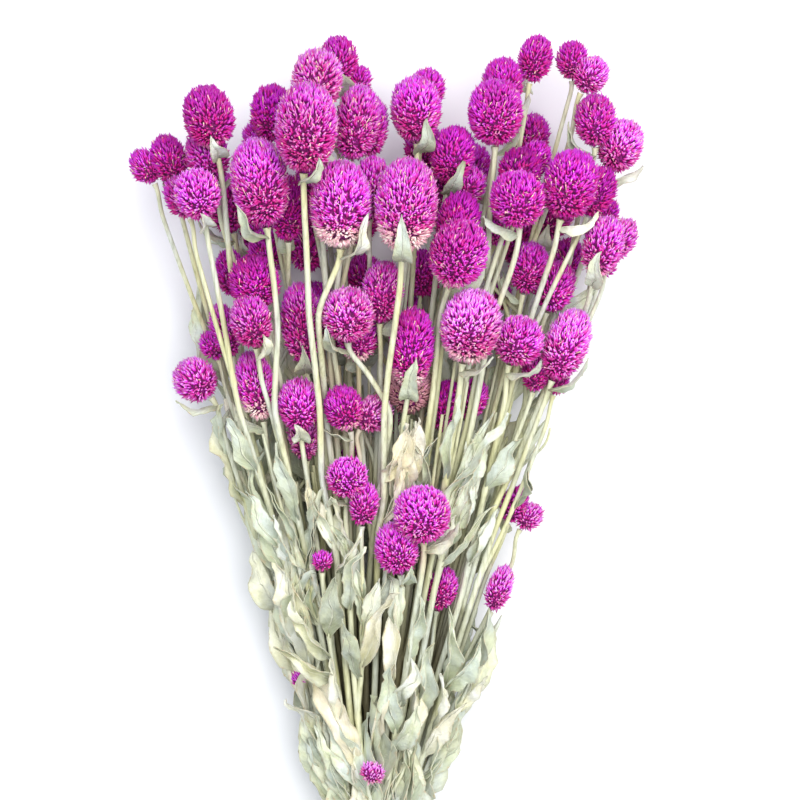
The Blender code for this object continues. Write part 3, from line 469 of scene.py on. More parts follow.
# The bracts of a head: the area that each covers, the golden angle from one to the next, how deep
# they are rooted, how far they lean up, reach out and roll, their width and how thick they are for
# it, and how red they are low on the head. The florets and the core between them.
BRACT_AREA = 1.75
FEWEST_BRACTS = 40
BRACTED = 1.97
GOLDEN = math.radians(137.508)
BRACT_INSET = 3.6
BRACT_LEAN = 1.9
BRACT_REACH = (-0.8, 1.05)
BRACT_ROLL = 0.5
BRACT_WIDTH = 1.6
BRACT_THICKNESS = 0.8
REDDEST = 0.45
REDDENING = (1.1, 2.3)
FULL_WIDTH = 22
WIDEST = 24
FOOT = (2.25, 2.95)
BLUNTNESS = 0.85
FLORETS_PER_BRACT = 0.065
FLORET_INSET = 1.5
FLORET_REACH = (-0.3, 0.7)
FLORET_RADIUS = (0.4, 0.75)
HEAD_CORE = 2.1
HEAD_LOWEST = 0.1

# The tones of the heads by their place: how bright, which is painted light and shade for how each
# head lies and partly its own tone, how pale at the foot, and how faded all over. A head that isn't
# named gets painted shade, darker the deeper it lies, and is a little pale at its foot.
SHADE_BY_DEPTH = (0.78, 1.0)
PALE_FOOT = 0.35
HEAD_SHADES_AND_TONES = {
    (104, 297): 0.7, (63, 307): 0.5, (-46, 332): 0.7, (38, 288): 0.7, (35, 314): 0.75,
    (18, 233): 0.8, (-55, 259): 0.75, (59, 348): 0.8, (-36, 290): 0.65, (-73, 331): 0.8,
    (-90, 312): 0.75, (33, 268): 0.85, (33, 201): 0.65, (-12, 200): 0.85, (60, 327): 0.85,
    (73, 320): 0.8, (43, 237): 1.15, (85, 234): 1.1, (108, 317): 1.1, (96, 347): 1.1,
    (57, 120): 1.15, (110, 277): 1.1, (-78, 216): 1.1, (-19, 342): 1.1, (0, 38): 1.3,
    (1, 200): 1.2, (-11, 247): 1.1, (98, 275): 1.05, (71, 152): 1.15, (62, 286): 0.85,
    (86, 300): 0.8,
}
PALE_FEET = {
    (16, 288): 1.0, (-15, 290): 1.0, (-50, 211): 1.0, (18, 233): 0.8, (-73, 331): 0.55,
    (42, 300): 0.75, (33, 268): 0.7, (98, 275): 0.6, (-12, 200): 0.65, (0, 38): 0.8,
    (43, 237): 0.75, (-6, 228): 0.75,
}
FADED = {(15, 205): 0.8, (1, 200): 0.1, (-30, 187): 0.25}


def modelled(obj):
    """The points and triangles of a modelled shape, whose object is then removed."""
    bpy.ops.object.mode_set(mode="EDIT")
    bpy.ops.mesh.select_all(action="SELECT")
    bpy.ops.mesh.quads_convert_to_tris()
    bpy.ops.object.mode_set(mode="OBJECT")
    mesh = obj.data
    points = np.empty(3 * len(mesh.vertices))
    mesh.vertices.foreach_get("co", points)
    faces = np.empty(3 * len(mesh.polygons), int)
    mesh.polygons.foreach_get("vertices", faces)
    bpy.data.objects.remove(obj)
    return points.reshape(-1, 3), faces.reshape(-1, 3)


class Heap:
    """Copies of modelled shapes, heaped up into one mesh that keeps a tint for every point."""

    def __init__(self):
        self.points, self.faces, self.tints, self.finishes = [], [], [], []
        self.count = 0

    def add(self, points, faces, tints, finish_number=0):
        """Copies of one shape: for each copy its points and their tints, with the shape's faces."""
        copies, size = points.shape[:2]
        starts = self.count + size * np.arange(copies)
        self.points.append(points.reshape(-1, 3))
        self.tints.append(tints.reshape(-1, 4))
        self.faces.append((faces[None] + starts[:, None, None]).reshape(-1, 3))
        self.finishes.append(np.full(copies * len(faces), finish_number))
        self.count += copies * size

    def piece(self, name, lowest, *materials):
        points, faces = np.concatenate(self.points), np.concatenate(self.faces)
        points[:, 2] = np.maximum(points[:, 2], lowest)
        mesh = bpy.data.meshes.new(name)
        mesh.vertices.add(len(points))
        mesh.vertices.foreach_set("co", (points * MM).ravel())
        mesh.loops.add(faces.size)
        mesh.loops.foreach_set("vertex_index", faces.ravel())
        mesh.polygons.add(len(faces))
        mesh.polygons.foreach_set("loop_start", np.arange(0, faces.size, 3))
        mesh.polygons.foreach_set("material_index", np.concatenate(self.finishes))
        mesh.update(calc_edges=True)
        tint = mesh.color_attributes.new("tint", "FLOAT_COLOR", "POINT")
        tint.data.foreach_set("color", np.concatenate(self.tints).ravel())
        for material in materials:
            mesh.materials.append(material)
        obj = bpy.data.objects.new(name, mesh)
        bpy.context.scene.collection.objects.link(obj)
        return obj


def picked(obj, rule):
    """Selects, in edit mode, just the points that pass a rule."""
    shape = bmesh.from_edit_mesh(obj.data)
    for point in shape.verts:
        point.select = rule(point.co)
    shape.select_flush(True)
    shape.select_flush(False)
    bmesh.update_edit_mesh(obj.data)


# One bract: a slim three-sided blade whose keel faces outwards, pointed at both ends
bpy.ops.mesh.primitive_cone_add(vertices=3, radius1=0, radius2=0.5, depth=0.6, location=(0, 0, 0.3))
bract = bpy.context.object
bpy.ops.object.transform_apply()
bpy.ops.object.mode_set(mode="EDIT")
bpy.ops.mesh.select_mode(type="VERT")
picked(bract, lambda place: place.z > 0.5)
bpy.ops.mesh.extrude_region_move(TRANSFORM_OT_translate={"value": (0, 0.1, 0.4)})
bpy.ops.mesh.merge(type="CENTER")
BRACT, BRACT_FACES = modelled(bract)

# One floret: a tiny star of three lobes that opens at the end of a short tube
bpy.ops.mesh.primitive_cone_add(
    vertices=6, radius1=0.25, radius2=0.5, depth=1, location=(0, 0, 0.5),
)
floret = bpy.context.object
bpy.ops.object.transform_apply()
bpy.ops.object.mode_set(mode="EDIT")
picked(floret, lambda place: place.z > 0.9 and math.cos(3 * math.atan2(place.x, place.y)) < 0)
bpy.ops.transform.resize(value=(0.4, 0.4, 0.9), center_override=(0, 0, 1))
FLORET, FLORET_FACES = modelled(floret)

# One core: an egg under the bracts, flat at its foot, that closes the gaps between them. Its colour
# is painted shade, dark like packed bracts in shadow. Blender gives its faces in another order in
# each run, so they are sorted.
bpy.ops.mesh.primitive_uv_sphere_add(segments=16, ring_count=10, radius=1)
core = bpy.context.object
bpy.ops.object.mode_set(mode="EDIT")
picked(core, lambda place: place.z < -0.9)
bpy.ops.transform.resize(value=(1.2, 1.2, 0.96), center_override=(0, 0, 0))
CORE, CORE_FACES = modelled(core)
CORE_FACES = CORE_FACES[np.lexsort(CORE_FACES.T)]


def on_egg(i, polar, turn, inset):
    """Places on head i in its own frame, this far inside its outline."""
    polar = np.clip(polar, 0.01, math.pi - 0.01)
    out = np.sin(polar) ** BLUNTNESS * (WIDTH[i] / 2 - inset)
    up = np.cos(polar) * (HEIGHT[i] / 2 - inset)
    return np.stack([out * np.cos(turn), out * np.sin(turn), up], axis=1)


def grown_copies(shape, roots, tips, turn, roll, wide, deep):
    """Copies of a shape that stand from their roots to their tips, rolled about that line."""
    long = np.linalg.norm(tips - roots, axis=1)[:, None]
    way = (tips - roots) / long
    side = np.stack([-np.sin(turn), np.cos(turn), np.zeros(len(turn))], axis=1)
    out = np.cross(side, way)
    rolled = side * np.cos(roll)[:, None] + out * np.sin(roll)[:, None]
    out = np.cross(rolled, way)
    points = roots[:, None] + rolled[:, None] * (shape[:, 0] * wide[:, None])[..., None]
    points += out[:, None] * (shape[:, 1] * deep[:, None])[..., None]
    return points + way[:, None] * (shape[:, 2] * long)[..., None]


def smooth_step(value, low, high):
    share = np.clip((value - low) / (high - low), 0, 1)
    return share * share * (3 - 2 * share)


def flower_head(i, heap):
    """The bracts, florets and core of one head, in place on its stem."""
    draw = np.random.default_rng(100 + i)
    place = (HEADS[i].across, HEADS[i].up)
    turned = np.array(Vector((0, 0, 1)).rotation_difference(Vector(AXES[i])).to_matrix()).T
    count = max(int(math.pi * WIDTH[i] * HEIGHT[i] / BRACT_AREA), FEWEST_BRACTS)
    size = math.sqrt(min(WIDTH[i], WIDEST) / FULL_WIDTH)
    number = np.arange(count)
    polar = np.arccos(1 - BRACTED * (number + 0.5) / count) + draw.normal(0, 0.04, count)
    turn = GOLDEN * number + draw.normal(0, 0.07, count)
    foot = smooth_step(polar, *FOOT)
    rise = BRACT_LEAN / np.hypot(WIDTH[i] / 2 * np.cos(polar), HEIGHT[i] / 2 * np.sin(polar))
    roots = on_egg(i, polar + rise * (1 - 0.5 * foot), turn, BRACT_INSET * size)
    reach = draw.uniform(*BRACT_REACH, count) ** 3 - 0.1
    aside = draw.normal(0, 0.11, count) / np.sin(polar).clip(0.3)
    away = rise * (1 - 2 * foot) + draw.normal(0, 0.08, count)
    tips = on_egg(i, polar - away, turn + aside, -reach)
    wide = BRACT_WIDTH * size * draw.uniform(0.75, 1.2, count)
    roll = draw.normal(0, BRACT_ROLL, count)
    points = grown_copies(BRACT, roots, tips, turn, roll, wide, BRACT_THICKNESS * wide)
    red = REDDEST * smooth_step(polar, *REDDENING) + draw.normal(0, 0.05, count)
    pale = PALE_FEET.get(place, PALE_FOOT)
    pale *= smooth_step(polar, 2.4 - 0.7 * pale, 3.0 - 0.6 * pale) * draw.uniform(0.7, 1.3, count)
    fade = FADED.get(place, 0.0)
    depth = (MIDDLES[i, 2] - middle_height(MIDDLES[i, 1])) / half_depth(MIDDLES[i, 1])
    # Painted light and shade: heads that lie deep or behind others are darkened, a few well lit
    # ones lightened
    shade_and_tone = HEAD_SHADES_AND_TONES.get(place, np.interp(depth, (-0.5, 0.5), SHADE_BY_DEPTH))
    # Each tint: the bract's own number, how far along it scaled by the head's painted light and
    # shade, how red or pale, and how faded
    tint = np.empty((count, len(BRACT), 4))
    tint[..., 0] = draw.uniform(0, 1, count)[:, None]
    tint[..., 1] = BRACT[:, 2] * shade_and_tone
    tint[..., 2] = np.clip(np.maximum(red, pale), 0, 1)[:, None]
    tint[..., 3] = np.clip(fade + draw.normal(0, 0.05, count), 0, 1)[:, None]
    heap.add(points @ turned + MIDDLES[i], BRACT_FACES, tint, 0)

    few = int(count * FLORETS_PER_BRACT)
    polar, turn = draw.normal(1.5, 0.5, few), draw.uniform(0, math.tau, few)
    roots = on_egg(i, polar, turn, FLORET_INSET * size)
    askew = draw.normal(0, 0.1, (2, few))
    tips = on_egg(i, polar - 0.08 + askew[0], turn + askew[1], draw.uniform(*FLORET_REACH, few))
    wide = draw.uniform(*FLORET_RADIUS, few) * size
    points = grown_copies(FLORET, roots, tips, turn, draw.uniform(0, 3, few), wide, wide)
    tint = np.ones((few, len(FLORET), 4)) * draw.uniform(0, 1, few)[:, None, None]
    heap.add(points @ turned + MIDDLES[i], FLORET_FACES, tint, 1)

    scale = np.array([WIDTH[i] / 2, WIDTH[i] / 2, HEIGHT[i] / 2]) - HEAD_CORE * size
    heap.add((CORE * scale)[None] @ turned + MIDDLES[i], CORE_FACES, np.zeros((1, len(CORE), 4)), 2)


def added(material, kind, values=None, **settings):
    """A new shader node with its settings, its inputs set or linked."""
    made = material.node_tree.nodes.new(kind)
    for name, value in settings.items():
        setattr(made, name, value)
    for name, value in (values or {}).items():
        if isinstance(value, bpy.types.NodeSocket):
            material.node_tree.links.new(value, made.inputs[name])
        else:
            made.inputs[name].default_value = value
    return made


def stretched(material, scale):
    """Object coordinates, scaled along each axis."""
    place = added(material, "ShaderNodeTexCoord").outputs["Object"]
    return added(material, "ShaderNodeMapping", {"Vector": place, "Scale": scale}).outputs["Vector"]


def noised(material, scale, size=1.0, detail=3.0, rough=0.6):
    """Noise that runs between 0 and 1."""
    place = stretched(material, scale)
    values = {"Vector": place, "Scale": size, "Detail": detail, "Roughness": rough}
    return added(material, "ShaderNodeTexNoise", values).outputs["Fac"]


def ramp(material, factor, *stops):
    """A colour ramp over a factor, from stops of a place and a colour."""
    made = added(material, "ShaderNodeValToRGB", {"Fac": factor})
    elements = made.color_ramp.elements
    while len(elements) < len(stops):
        elements.new(0.5)
    for element, (place, colour) in zip(elements, stops):
        element.position = place
        element.color = (*colour, 1)
    return made.outputs["Color"]


def mixed(material, factor, first, second, blend="MIX"):
    """Two colours, mixed by a factor."""
    made = added(material, "ShaderNodeMix", data_type="RGBA", blend_type=blend)
    for place, value in ((0, factor), (6, first), (7, second)):
        if isinstance(value, bpy.types.NodeSocket):
            material.node_tree.links.new(value, made.inputs[place])
        elif place == 0:
            made.inputs[place].default_value = value
        else:
            made.inputs[place].default_value = (*value, 1)
    return made.outputs[2]


def computed(material, operation, *values):
    """A sum, product or other result of numbers."""
    made = added(material, "ShaderNodeMath", operation=operation)
    for place, value in enumerate(values):
        if isinstance(value, bpy.types.NodeSocket):
            material.node_tree.links.new(value, made.inputs[place])
        else:
            made.inputs[place].default_value = value
    return made.outputs[0]


def finish(name, colour_of, roughness, bump_of=None, depth=0.0, **values):
    """A material from a function that gives its colour, and one that gives its relief in metres."""
    made = bpy.data.materials.new(name)
    made.use_nodes = True
    shader = made.node_tree.nodes["Principled BSDF"]
    made.node_tree.links.new(colour_of(made), shader.inputs["Base Color"])
    shader.inputs["Roughness"].default_value = roughness
    for key, value in values.items():
        shader.inputs[key.replace("_", " ")].default_value = value
    if bump_of:
        bump = added(made, "ShaderNodeBump", {"Height": bump_of(made), "Distance": depth})
        made.node_tree.links.new(bump.outputs["Normal"], shader.inputs["Normal"])
    return made


def share(material, factor, *stops):
    """A number that runs over a factor, from stops of a place and the number there."""
    return ramp(material, factor, *[(place, (number,) * 3) for place, number in stops])


def times(material, first, second):
    return computed(material, "MULTIPLY", first, second)


def shaded(material, colour, by):
    """A colour darkened or tinted by another."""
    return mixed(material, 1.0, colour, by, "MULTIPLY")


def tint_of(material):
    """The tint of each point, as three numbers and a fourth."""
    tint = added(material, "ShaderNodeAttribute", attribute_name="tint")
    parts = added(material, "ShaderNodeSeparateColor", {"Color": tint.outputs["Color"]})
    return (*parts.outputs[:3], tint.outputs["Alpha"])


def bract_colour(material):
    """Painted shade at the root, where the bracts are packed, and violet pink at the tip, redder
    low on the head and pale at its foot.
    """
    own, along, low, fade = tint_of(material)
    # The dark low end of this ramp is painted shade, where each bract's root lies packed under
    # others
    colour = ramp(material, along, (0.2, (0.22, 0.001, 0.155)), (0.5, (0.52, 0.007, 0.44)),
                  (0.75, (0.74, 0.05, 0.71)), (1.0, (0.95, 0.4, 1.0)))
    patches = noised(material, (26, 26, 26), detail=1)
    patches = ramp(material, patches, (0.35, (0.72, 0.64, 0.62)), (0.62, (1.03, 1.15, 1.2)))
    colour = shaded(material, colour, patches)
    redder = computed(material, "MULTIPLY_ADD", low, 1.2, own)
    redder = share(material, redder, (0.55, 0), (1.0, 1))
    colour = mixed(material, times(material, redder, 0.7), colour, (0.58, 0.01, 0.17))
    paler = share(material, own, (0.15, 1), (0.25, 0))
    tips = share(material, along, (0.6, 0), (0.95, 0.65))
    colour = mixed(material, times(material, paler, tips), colour, (0.95, 0.55, 0.68))
    foot = ramp(material, own, (0.0, (0.92, 0.42, 0.55)), (0.4, (0.97, 0.68, 0.66)),
                (1.0, (1.0, 0.9, 0.84)))
    colour = mixed(material, share(material, low, (0.48, 0), (0.9, 1)), colour, foot)
    return mixed(material, fade, colour, (0.52, 0.3, 0.28))


def floret_colour(material):
    return ramp(material, tint_of(material)[0], (0.0, (0.86, 0.62, 0.4)), (0.4, (0.9, 0.6, 0.58)),
                (1.0, (0.88, 0.26, 0.55)))


def packed(material):
    """How far each place lies from the middle of the nearest bract root."""
    values = {"Vector": stretched(material, (1, 1, 1)), "Scale": 850}
    return added(material, "ShaderNodeTexVoronoi", values).outputs["Distance"]


# The core's colour is painted shade: dark magenta, like bracts in shadow deep between the others
def core_shade_colour(material):
    return ramp(material, packed(material), (0.1, (0.3, 0.004, 0.22)), (0.5, (0.18, 0.001, 0.12)),
                (0.75, (0.09, 0.0, 0.06)))


def packed_relief(material):
    return computed(material, "SUBTRACT", 1.0, packed(material))


papery_bract = finish("papery_bract", bract_colour, 0.5, Specular_IOR_Level=0.2)
cream_floret = finish("cream_floret", floret_colour, 0.6, Specular_IOR_Level=0.2)
painted_shade_core = finish("painted_shade_core", core_shade_colour, 0.8, packed_relief, 0.001)


def riding(piece, slot, *nodes):
    """Fixes a finished piece to the bunch, in place of its plain solids."""
    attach(piece, "root")
    if nodes:
        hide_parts(*nodes)


def flower_heads(name, numbers, *nodes):
    """One piece of all the heads with these numbers, in place of the nodes."""
    heap = Heap()
    for i in numbers:
        flower_head(int(i), heap)
    heads = heap.piece(name, HEAD_LOWEST, papery_bract, cream_floret, painted_shade_core)
    riding(heads, "dried_bloom", *nodes)


for number in range(len(CLUSTERS)):
    flower_heads(f"flower_heads_{number + 1:02}", np.flatnonzero(GROUP == number),
                 f"bloom_{number + 1:02}")
flower_heads("flower_heads_behind", range(COUNT, len(HEADS)))

# Leaves
# Long narrow leaves that dried on the stems, thin and stiff, folded along the midrib, rolled in at
# the edges, twisted and crumpled. They run from mint and grey-green to cream, straw and a little
# tan. Under each head sit one or two short broad ones that cup it.

# The leaves that show most, in millimetres: where each leaves its stem, how long and wide it is,
# and how far it turns to the right of the stems, in degrees
Leaf = namedtuple("Leaf", "across up length width turn")
LEAVES = (
    Leaf(35, 164, 46, 13, 29), Leaf(27, 168, 42, 10, 0), Leaf(11, 164, 25, 14, -8),
    Leaf(1, 86, 41, 15, 21), Leaf(30, 75, 40, 14, -14), Leaf(35, 76, 35, 13, 34),
    Leaf(-20, 88, 34, 15, -27), Leaf(-35, 110, 30, 14, -20), Leaf(-20, 80, 31, 14, -55),
    Leaf(-20, 124, 38, 9, 10), Leaf(-9, 126, 24, 10, 28), Leaf(-12, 99, 31, 10, 14),
    Leaf(11, 55, 34, 11, -15), Leaf(14, 69, 24, 10, 6), Leaf(15, 48, 24, 13, 20),
    Leaf(-5, 44, 26, 13, 62), Leaf(-24, 58, 22, 10, -38), Leaf(-20, 30, 32, 11, -17),
    Leaf(29, 43, 33, 12, 30), Leaf(45, 78, 26, 10, 22), Leaf(-58, 172, 29, 10, -14),
    Leaf(-38, 150, 38, 11, -2), Leaf(53, 165, 29, 10, 20), Leaf(42, 100, 32, 12, 12),
    Leaf(40, 130, 30, 11, 16), Leaf(-48, 140, 30, 10, -16), Leaf(2, 30, 28, 10, -6),
)
LEAF_SEED = 7
MORE_LEAVES = 20
LEAF_TRIES = 1500
LEAF_LIFT = 0.18
LARGE_LEAF = np.array([0.0, 0.5, 1.0, 0.8, 0.0])
SMALL_LEAF = np.array([0.0, 0.8, 0.9, 0.0])
LEAF_MARGIN = 1.0
LEAF_OUTLINE = 5.0
LEAF_FOLD = 0.16
BLADE = 0.8
BRACTED_FROM = 18.0
BRACT_HALF = 4.6
BRACT_STARTS = (90, 45, 135, 15, 165, 0, 180, -20)
BRACT_RISES = (0.25, 0.35, 0.45)
BACK_START = 255
BACK_RISE = 0.35

# A blade is a leaf or a bract: the stem that it grows from, points up its midrib, half its width at
# each point, its sideways direction and how far its edges fold up
Blade = namedtuple("Blade", "stem points halves side fold")


def blade_normal(blade):
    return unit(np.cross(blade.side, blade.points[-1] - blade.points[0]))


def blade_samples(blade):
    """Points spread over a blade, for keeping others clear of it."""
    samples = [blade.points[-1]]
    normal = blade_normal(blade)
    for k in range(len(blade.points) - 1):
        for t in (0, 0.25, 0.5, 0.75):
            middle = blade.points[k] * (1 - t) + blade.points[k + 1] * t
            half = blade.halves[k] * (1 - t) + blade.halves[k + 1] * t
            for way in (-1, -0.5, 0, 0.5, 1):
                samples.append(middle + (blade.side * way + normal * blade.fold * abs(way)) * half)
    return np.array(samples)


class Foliage:
    """Leaves and bracts, placed one by one clear of the heads, the stems and each other."""

    FLOOR = 3.0
    BRACT_FLOOR = 1.5
    STEEPEST = 1.1
    DROOP = 0.35
    DEEPEST = -3
    ROOT_RISE = 5.5
    STEM_ASIDE = 9
    STEM_AWAY = 4
    BRACT_ROOT = 4.0
    BRACT_CLEAR = 3.0
    TURNS_ASIDE = (0, 25, -25, 50, -50, 80, -80)

    # Balls thinner than this are those of stems. Gaps are over and above half a blade.
    THIN = 2
    LEAF_GAP = 0.35
    BRACT_GAP = 0.6
    NEXT_GAP = 0.5

    # The leaves placed by rule: where they may grow, how they turn, how long and wide they are
    ROOTS = (14, 240)
    BELOW_HEAD = 30
    MORE_TURNS = (-40, 40)
    MORE_LENGTHS = (22, 38)
    MORE_HALVES = (4, 6.5)

    def __init__(self):
        self.leaves, self.bracts = [], []
        balls = MIDDLES[:COUNT, None] + AXES[:COUNT, None] * BALLS[..., None]
        self.centres = balls.reshape(-1, 3)
        self.radii = np.repeat(WIDTH[:COUNT] / 2, len(BALL_PLACES))
        self.owners = np.repeat(np.arange(COUNT), len(BALL_PLACES))
        for i, line in enumerate(DENSE):
            self.block(line, STEM_RADIUS, i)

    def block(self, points, radius, owner):
        """Keep what comes later clear of these points."""
        self.centres = np.concatenate([self.centres, points])
        self.radii = np.concatenate([self.radii, np.full(len(points), radius)])
        self.owners = np.concatenate([self.owners, np.full(len(points), owner)])

    def room(self, points, mask):
        """The least distance from points to the surfaces of the balls in mask."""
        apart = np.linalg.norm(points[:, None] - self.centres[None, mask], axis=2)
        return (apart - self.radii[mask]).min(initial=9)

    def draped(self, stem, root, along, out, length, halves, tip_lift):
        """A leaf from root along the outside of the bunch, or None where it finds no room."""
        side = unit(np.cross(along, out))
        count = len(halves)
        step = length / (count - 1)
        local = self.centres - root
        u, v, w = local @ along, local @ side, local @ out
        own = (self.owners == stem) & (self.radii < self.THIN)
        heights = np.zeros(count)
        for k in range(1, count):
            beside = np.abs(u - k * step)
            under = (beside < step * 0.9 + self.radii) & (np.abs(v) < halves[k] + self.radii + 0.6)
            under &= ~own | (w < 0)
            crossed = own & (beside < step) & (np.abs(v) < halves[k] + 2) & (k > 1)
            top = (w + self.radii)[under | crossed].max(initial=-4)
            heights[k] = max(top, heights[k - 1] - step * self.DROOP, self.DEEPEST) + LEAF_MARGIN
        heights[1:] = np.maximum(heights[1:], STEM_RADIUS)
        heights[1:-1] = np.maximum(heights[1:-1], (heights[:-2] + heights[2:]) / 2)
        heights += tip_lift * length * np.linspace(0, 1, count) ** 2
        if np.diff(heights).max() > step * self.STEEPEST or heights[1] > self.ROOT_RISE:
            return None
        points = root + np.outer(np.arange(count) * step, along) + np.outer(heights, out)
        leaf = Blade(stem, points, halves, side, LEAF_FOLD)
        near = (np.abs(u - length / 2) < length / 2 + self.radii + 4) & ~own
        near &= np.abs(v) < halves.max() + 2 + self.radii
        clear = self.room(blade_samples(leaf), near) > BLADE / 2 + self.LEAF_GAP
        return leaf if clear and points[:, 2].min() > self.FLOOR else None

    def grow(self, stem, root, turn, length, halves, out, lift):
        """Adds a leaf that turns this many degrees to the right of its stem, or less where it
        would leave the outline of the bunch, if there is room."""
        near = int(np.argmin(np.linalg.norm(DENSE[stem] - root, axis=1)))
        near = min(max(near, 2), len(DENSE[stem]) - 3)
        ahead = unit(DENSE[stem][near + 2] - DENSE[stem][near - 2])
        out = unit(out - ahead * (out @ ahead))
        right = np.cross(ahead, out)
        for less in range(0, 90, 10):
            angle = math.radians(turn - math.copysign(less, root[0]))
            along = math.cos(angle) * ahead + math.sin(angle) * right
            tip = root + along * length
            if abs(tip[0]) < half_width(tip[1]) + LEAF_OUTLINE:
                break
        leaf = self.draped(stem, root, along, out, length, halves, lift)
        if leaf:
            self.leaves.append(leaf)
            self.block(blade_samples(leaf), BLADE / 2 + self.NEXT_GAP, stem)
        return leaf is not None

    def add_seen_leaf(self, leaf, lift):
        """A leaf of the list, on the uppermost stem near its place that has room for it."""
        choices = []
        for i, line in enumerate(DENSE):
            near = int(np.argmin(np.abs(line[:, 1] - leaf.up)))
            aside = abs(line[near, 0] - leaf.across)
            if abs(line[near, 1] - leaf.up) < self.STEM_AWAY and aside < self.STEM_ASIDE:
                choices.append((line[near, 2] - 0.8 * aside, i, near))
        out = np.array([0.25 * leaf.across / half_width(leaf.up), 0, 1.0])
        halves = LARGE_LEAF * leaf.width / 2
        for length in (leaf.length, 0.8 * leaf.length):
            for _, i, near in sorted(choices, reverse=True):
                if self.grow(i, DENSE[i][near], leaf.turn, length, halves, out, lift):
                    return

    def add_more_leaves(self, rng):
        """Leaves by a seeded rule, all round the bunch."""
        wanted = len(self.leaves) + MORE_LEAVES
        for _ in range(LEAF_TRIES):
            if len(self.leaves) == wanted:
                return
            i = rng.randrange(COUNT)
            root = DENSE[i][rng.randrange(len(DENSE[i]))]
            turn, length = rng.uniform(*self.MORE_TURNS), rng.uniform(*self.MORE_LENGTHS)
            half, lift = rng.uniform(*self.MORE_HALVES), rng.uniform(0.0, LEAF_LIFT)
            if self.ROOTS[0] < root[1] < min(FEET[i, 1] - self.BELOW_HEAD, self.ROOTS[1]):
                across = root[0] / half_width(root[1]) ** 2
                high = (root[2] - middle_height(root[1])) / half_depth(root[1]) ** 2
                out = unit(np.array([across, 0, high]) + 1e-9)
                self.grow(i, root, turn, length, SMALL_LEAF * half, out, lift)

    def add_bract(self, i, start, rise):
        """A small leaf under head i, cupping it from the side nearest to start that has room."""
        radius, foot, axis = WIDTH[i] / 2, FEET[i], AXES[i]
        near = np.linalg.norm(self.centres - foot, axis=1) < self.radii + HEIGHT[i] + 8
        near &= (self.owners != i) | (self.radii > self.THIN)
        across = unit(np.cross(axis, np.array([0, 0, 1.0])))
        over = np.cross(across, axis)
        for shift in self.TURNS_ASIDE:
            angle = math.radians(start + shift)
            out = across * math.cos(angle) + over * math.sin(angle)
            root = foot - axis * self.BRACT_ROOT
            elbow = foot + axis + out * (0.8 * radius + 1.6)
            tip = foot + axis * (rise * HEIGHT[i]) + out * (radius + self.BRACT_CLEAR)
            halves = np.array([0, min(0.55 * radius, BRACT_HALF), 0])
            bract = Blade(i, np.array([root, elbow, tip]), halves, np.cross(axis, out), 0.0)
            samples = blade_samples(bract)
            clear = self.room(samples, near) > BLADE / 2 + self.BRACT_GAP
            if clear and samples[:, 2].min() > self.BRACT_FLOOR:
                self.bracts.append(bract)
                self.block(samples, BLADE / 2, i)
                return


def grown_foliage():
    rng = random.Random(LEAF_SEED)
    foliage = Foliage()
    for i in range(COUNT):
        start, rise = rng.choice(BRACT_STARTS), rng.choice(BRACT_RISES)
        if WIDTH[i] >= BRACTED_FROM:
            foliage.add_bract(i, start, rise)
    for leaf in LEAVES:
        foliage.add_seen_leaf(leaf, rng.uniform(0.0, LEAF_LIFT))
    foliage.add_more_leaves(rng)
    return foliage


FOLIAGE = grown_foliage()

# What comes later keeps clear of the heads behind, too
for row, axis, room in zip(ROWS_BEHIND, AXES[COUNT:], HEIGHT[COUNT:] - WIDTH[COUNT:]):
    FOLIAGE.block(row[:3] + BALL_PLACES[:, None] * axis * room, row[3] / 2, -1)

# The outside of the stems by level and angle, as a share of the bunch's half width and half depth
SKIN_STEP = 4.0
SKIN_LEVELS = 62
SKIN_TURN = math.radians(10)
SKIN_LEAST = 0.7
STEM_POINTS = np.concatenate(DENSE)
STEM_OWNERS = np.repeat(np.arange(COUNT), [len(line) for line in DENSE])

# The twigs, the bare stalks and the leaves that fill the bunch out. Each kind of leaf has its half
# width, the spread of its slope, how far off the stems it starts and rises, and its length.
FILLING_SEED = 11
TWIGS = 34
TWIG_SLOPES = (0.15, 0.55)
TWIG_LENGTHS = (30, 60)
TWIG_HALVES = np.full(6, 0.8)
TWIG_LIFT = 1.5
TWIG_RISE = 0.5
LEVELS_UNDER = (10, 235)
LEVELS_OVER = 228
UPPER_LEVELS = (100, 215)
UNDER_SIDE = 0.42
EDGE = 0.3
UPPER_EDGE = 0.7
Filling = namedtuple("Filling", "count half slope lift rise length")
ALL_ROUND = Filling(290, (5, 10.5), 0.25, (-1, 2.5), (-0.3, 0.8), (28, 56))
UPPER = Filling(48, (3.5, 8), 0.3, (-2, 2), (0, 1.5), (24, 46))
HEAD_MARGIN = 1.5
COVER = 4.5
COVER_DEPTH = -2
BARE_SEED = 5
BARE_STALKS = 50
BARE_LOW = (40, 130)
BARE_HIGH = (170, 290)
BARE_APART = (4.6, 26)
BARE_CLEAR = 0.5
BARE_STEP = 6.0

# How many balls stand for the heads that show, and points of the leaves that are listed, which no
# other may cover
SEEN_BALLS = len(BALL_PLACES) * COUNT
MARKED_LEAVES = np.concatenate([evenly(blade.points, 3) for blade in FOLIAGE.leaves[: len(LEAVES)]])


def skin_of_stems():
    angles = np.arange(-math.pi, math.pi, SKIN_TURN)
    skin = np.full((SKIN_LEVELS, len(angles)), SKIN_LEAST)
    for n in range(SKIN_LEVELS):
        up = n * SKIN_STEP
        for line in DENSE:
            if line[0, 1] <= up <= line[-1, 1]:
                across = np.interp(up, line[:, 1], line[:, 0]) / half_width(up)
                high = (np.interp(up, line[:, 1], line[:, 2]) - middle_height(up)) / half_depth(up)
                apart = (angles - math.atan2(high, across) + math.pi) % math.tau - math.pi
                near = np.abs(apart) < 1.2 * SKIN_TURN
                skin[n, near] = np.maximum(skin[n, near], math.hypot(across, high))
    return skin


SKIN = skin_of_stems()


def outward(up, angle):
    return unit(np.array([math.cos(angle) / half_width(up), 0, math.sin(angle) / half_depth(up)]))


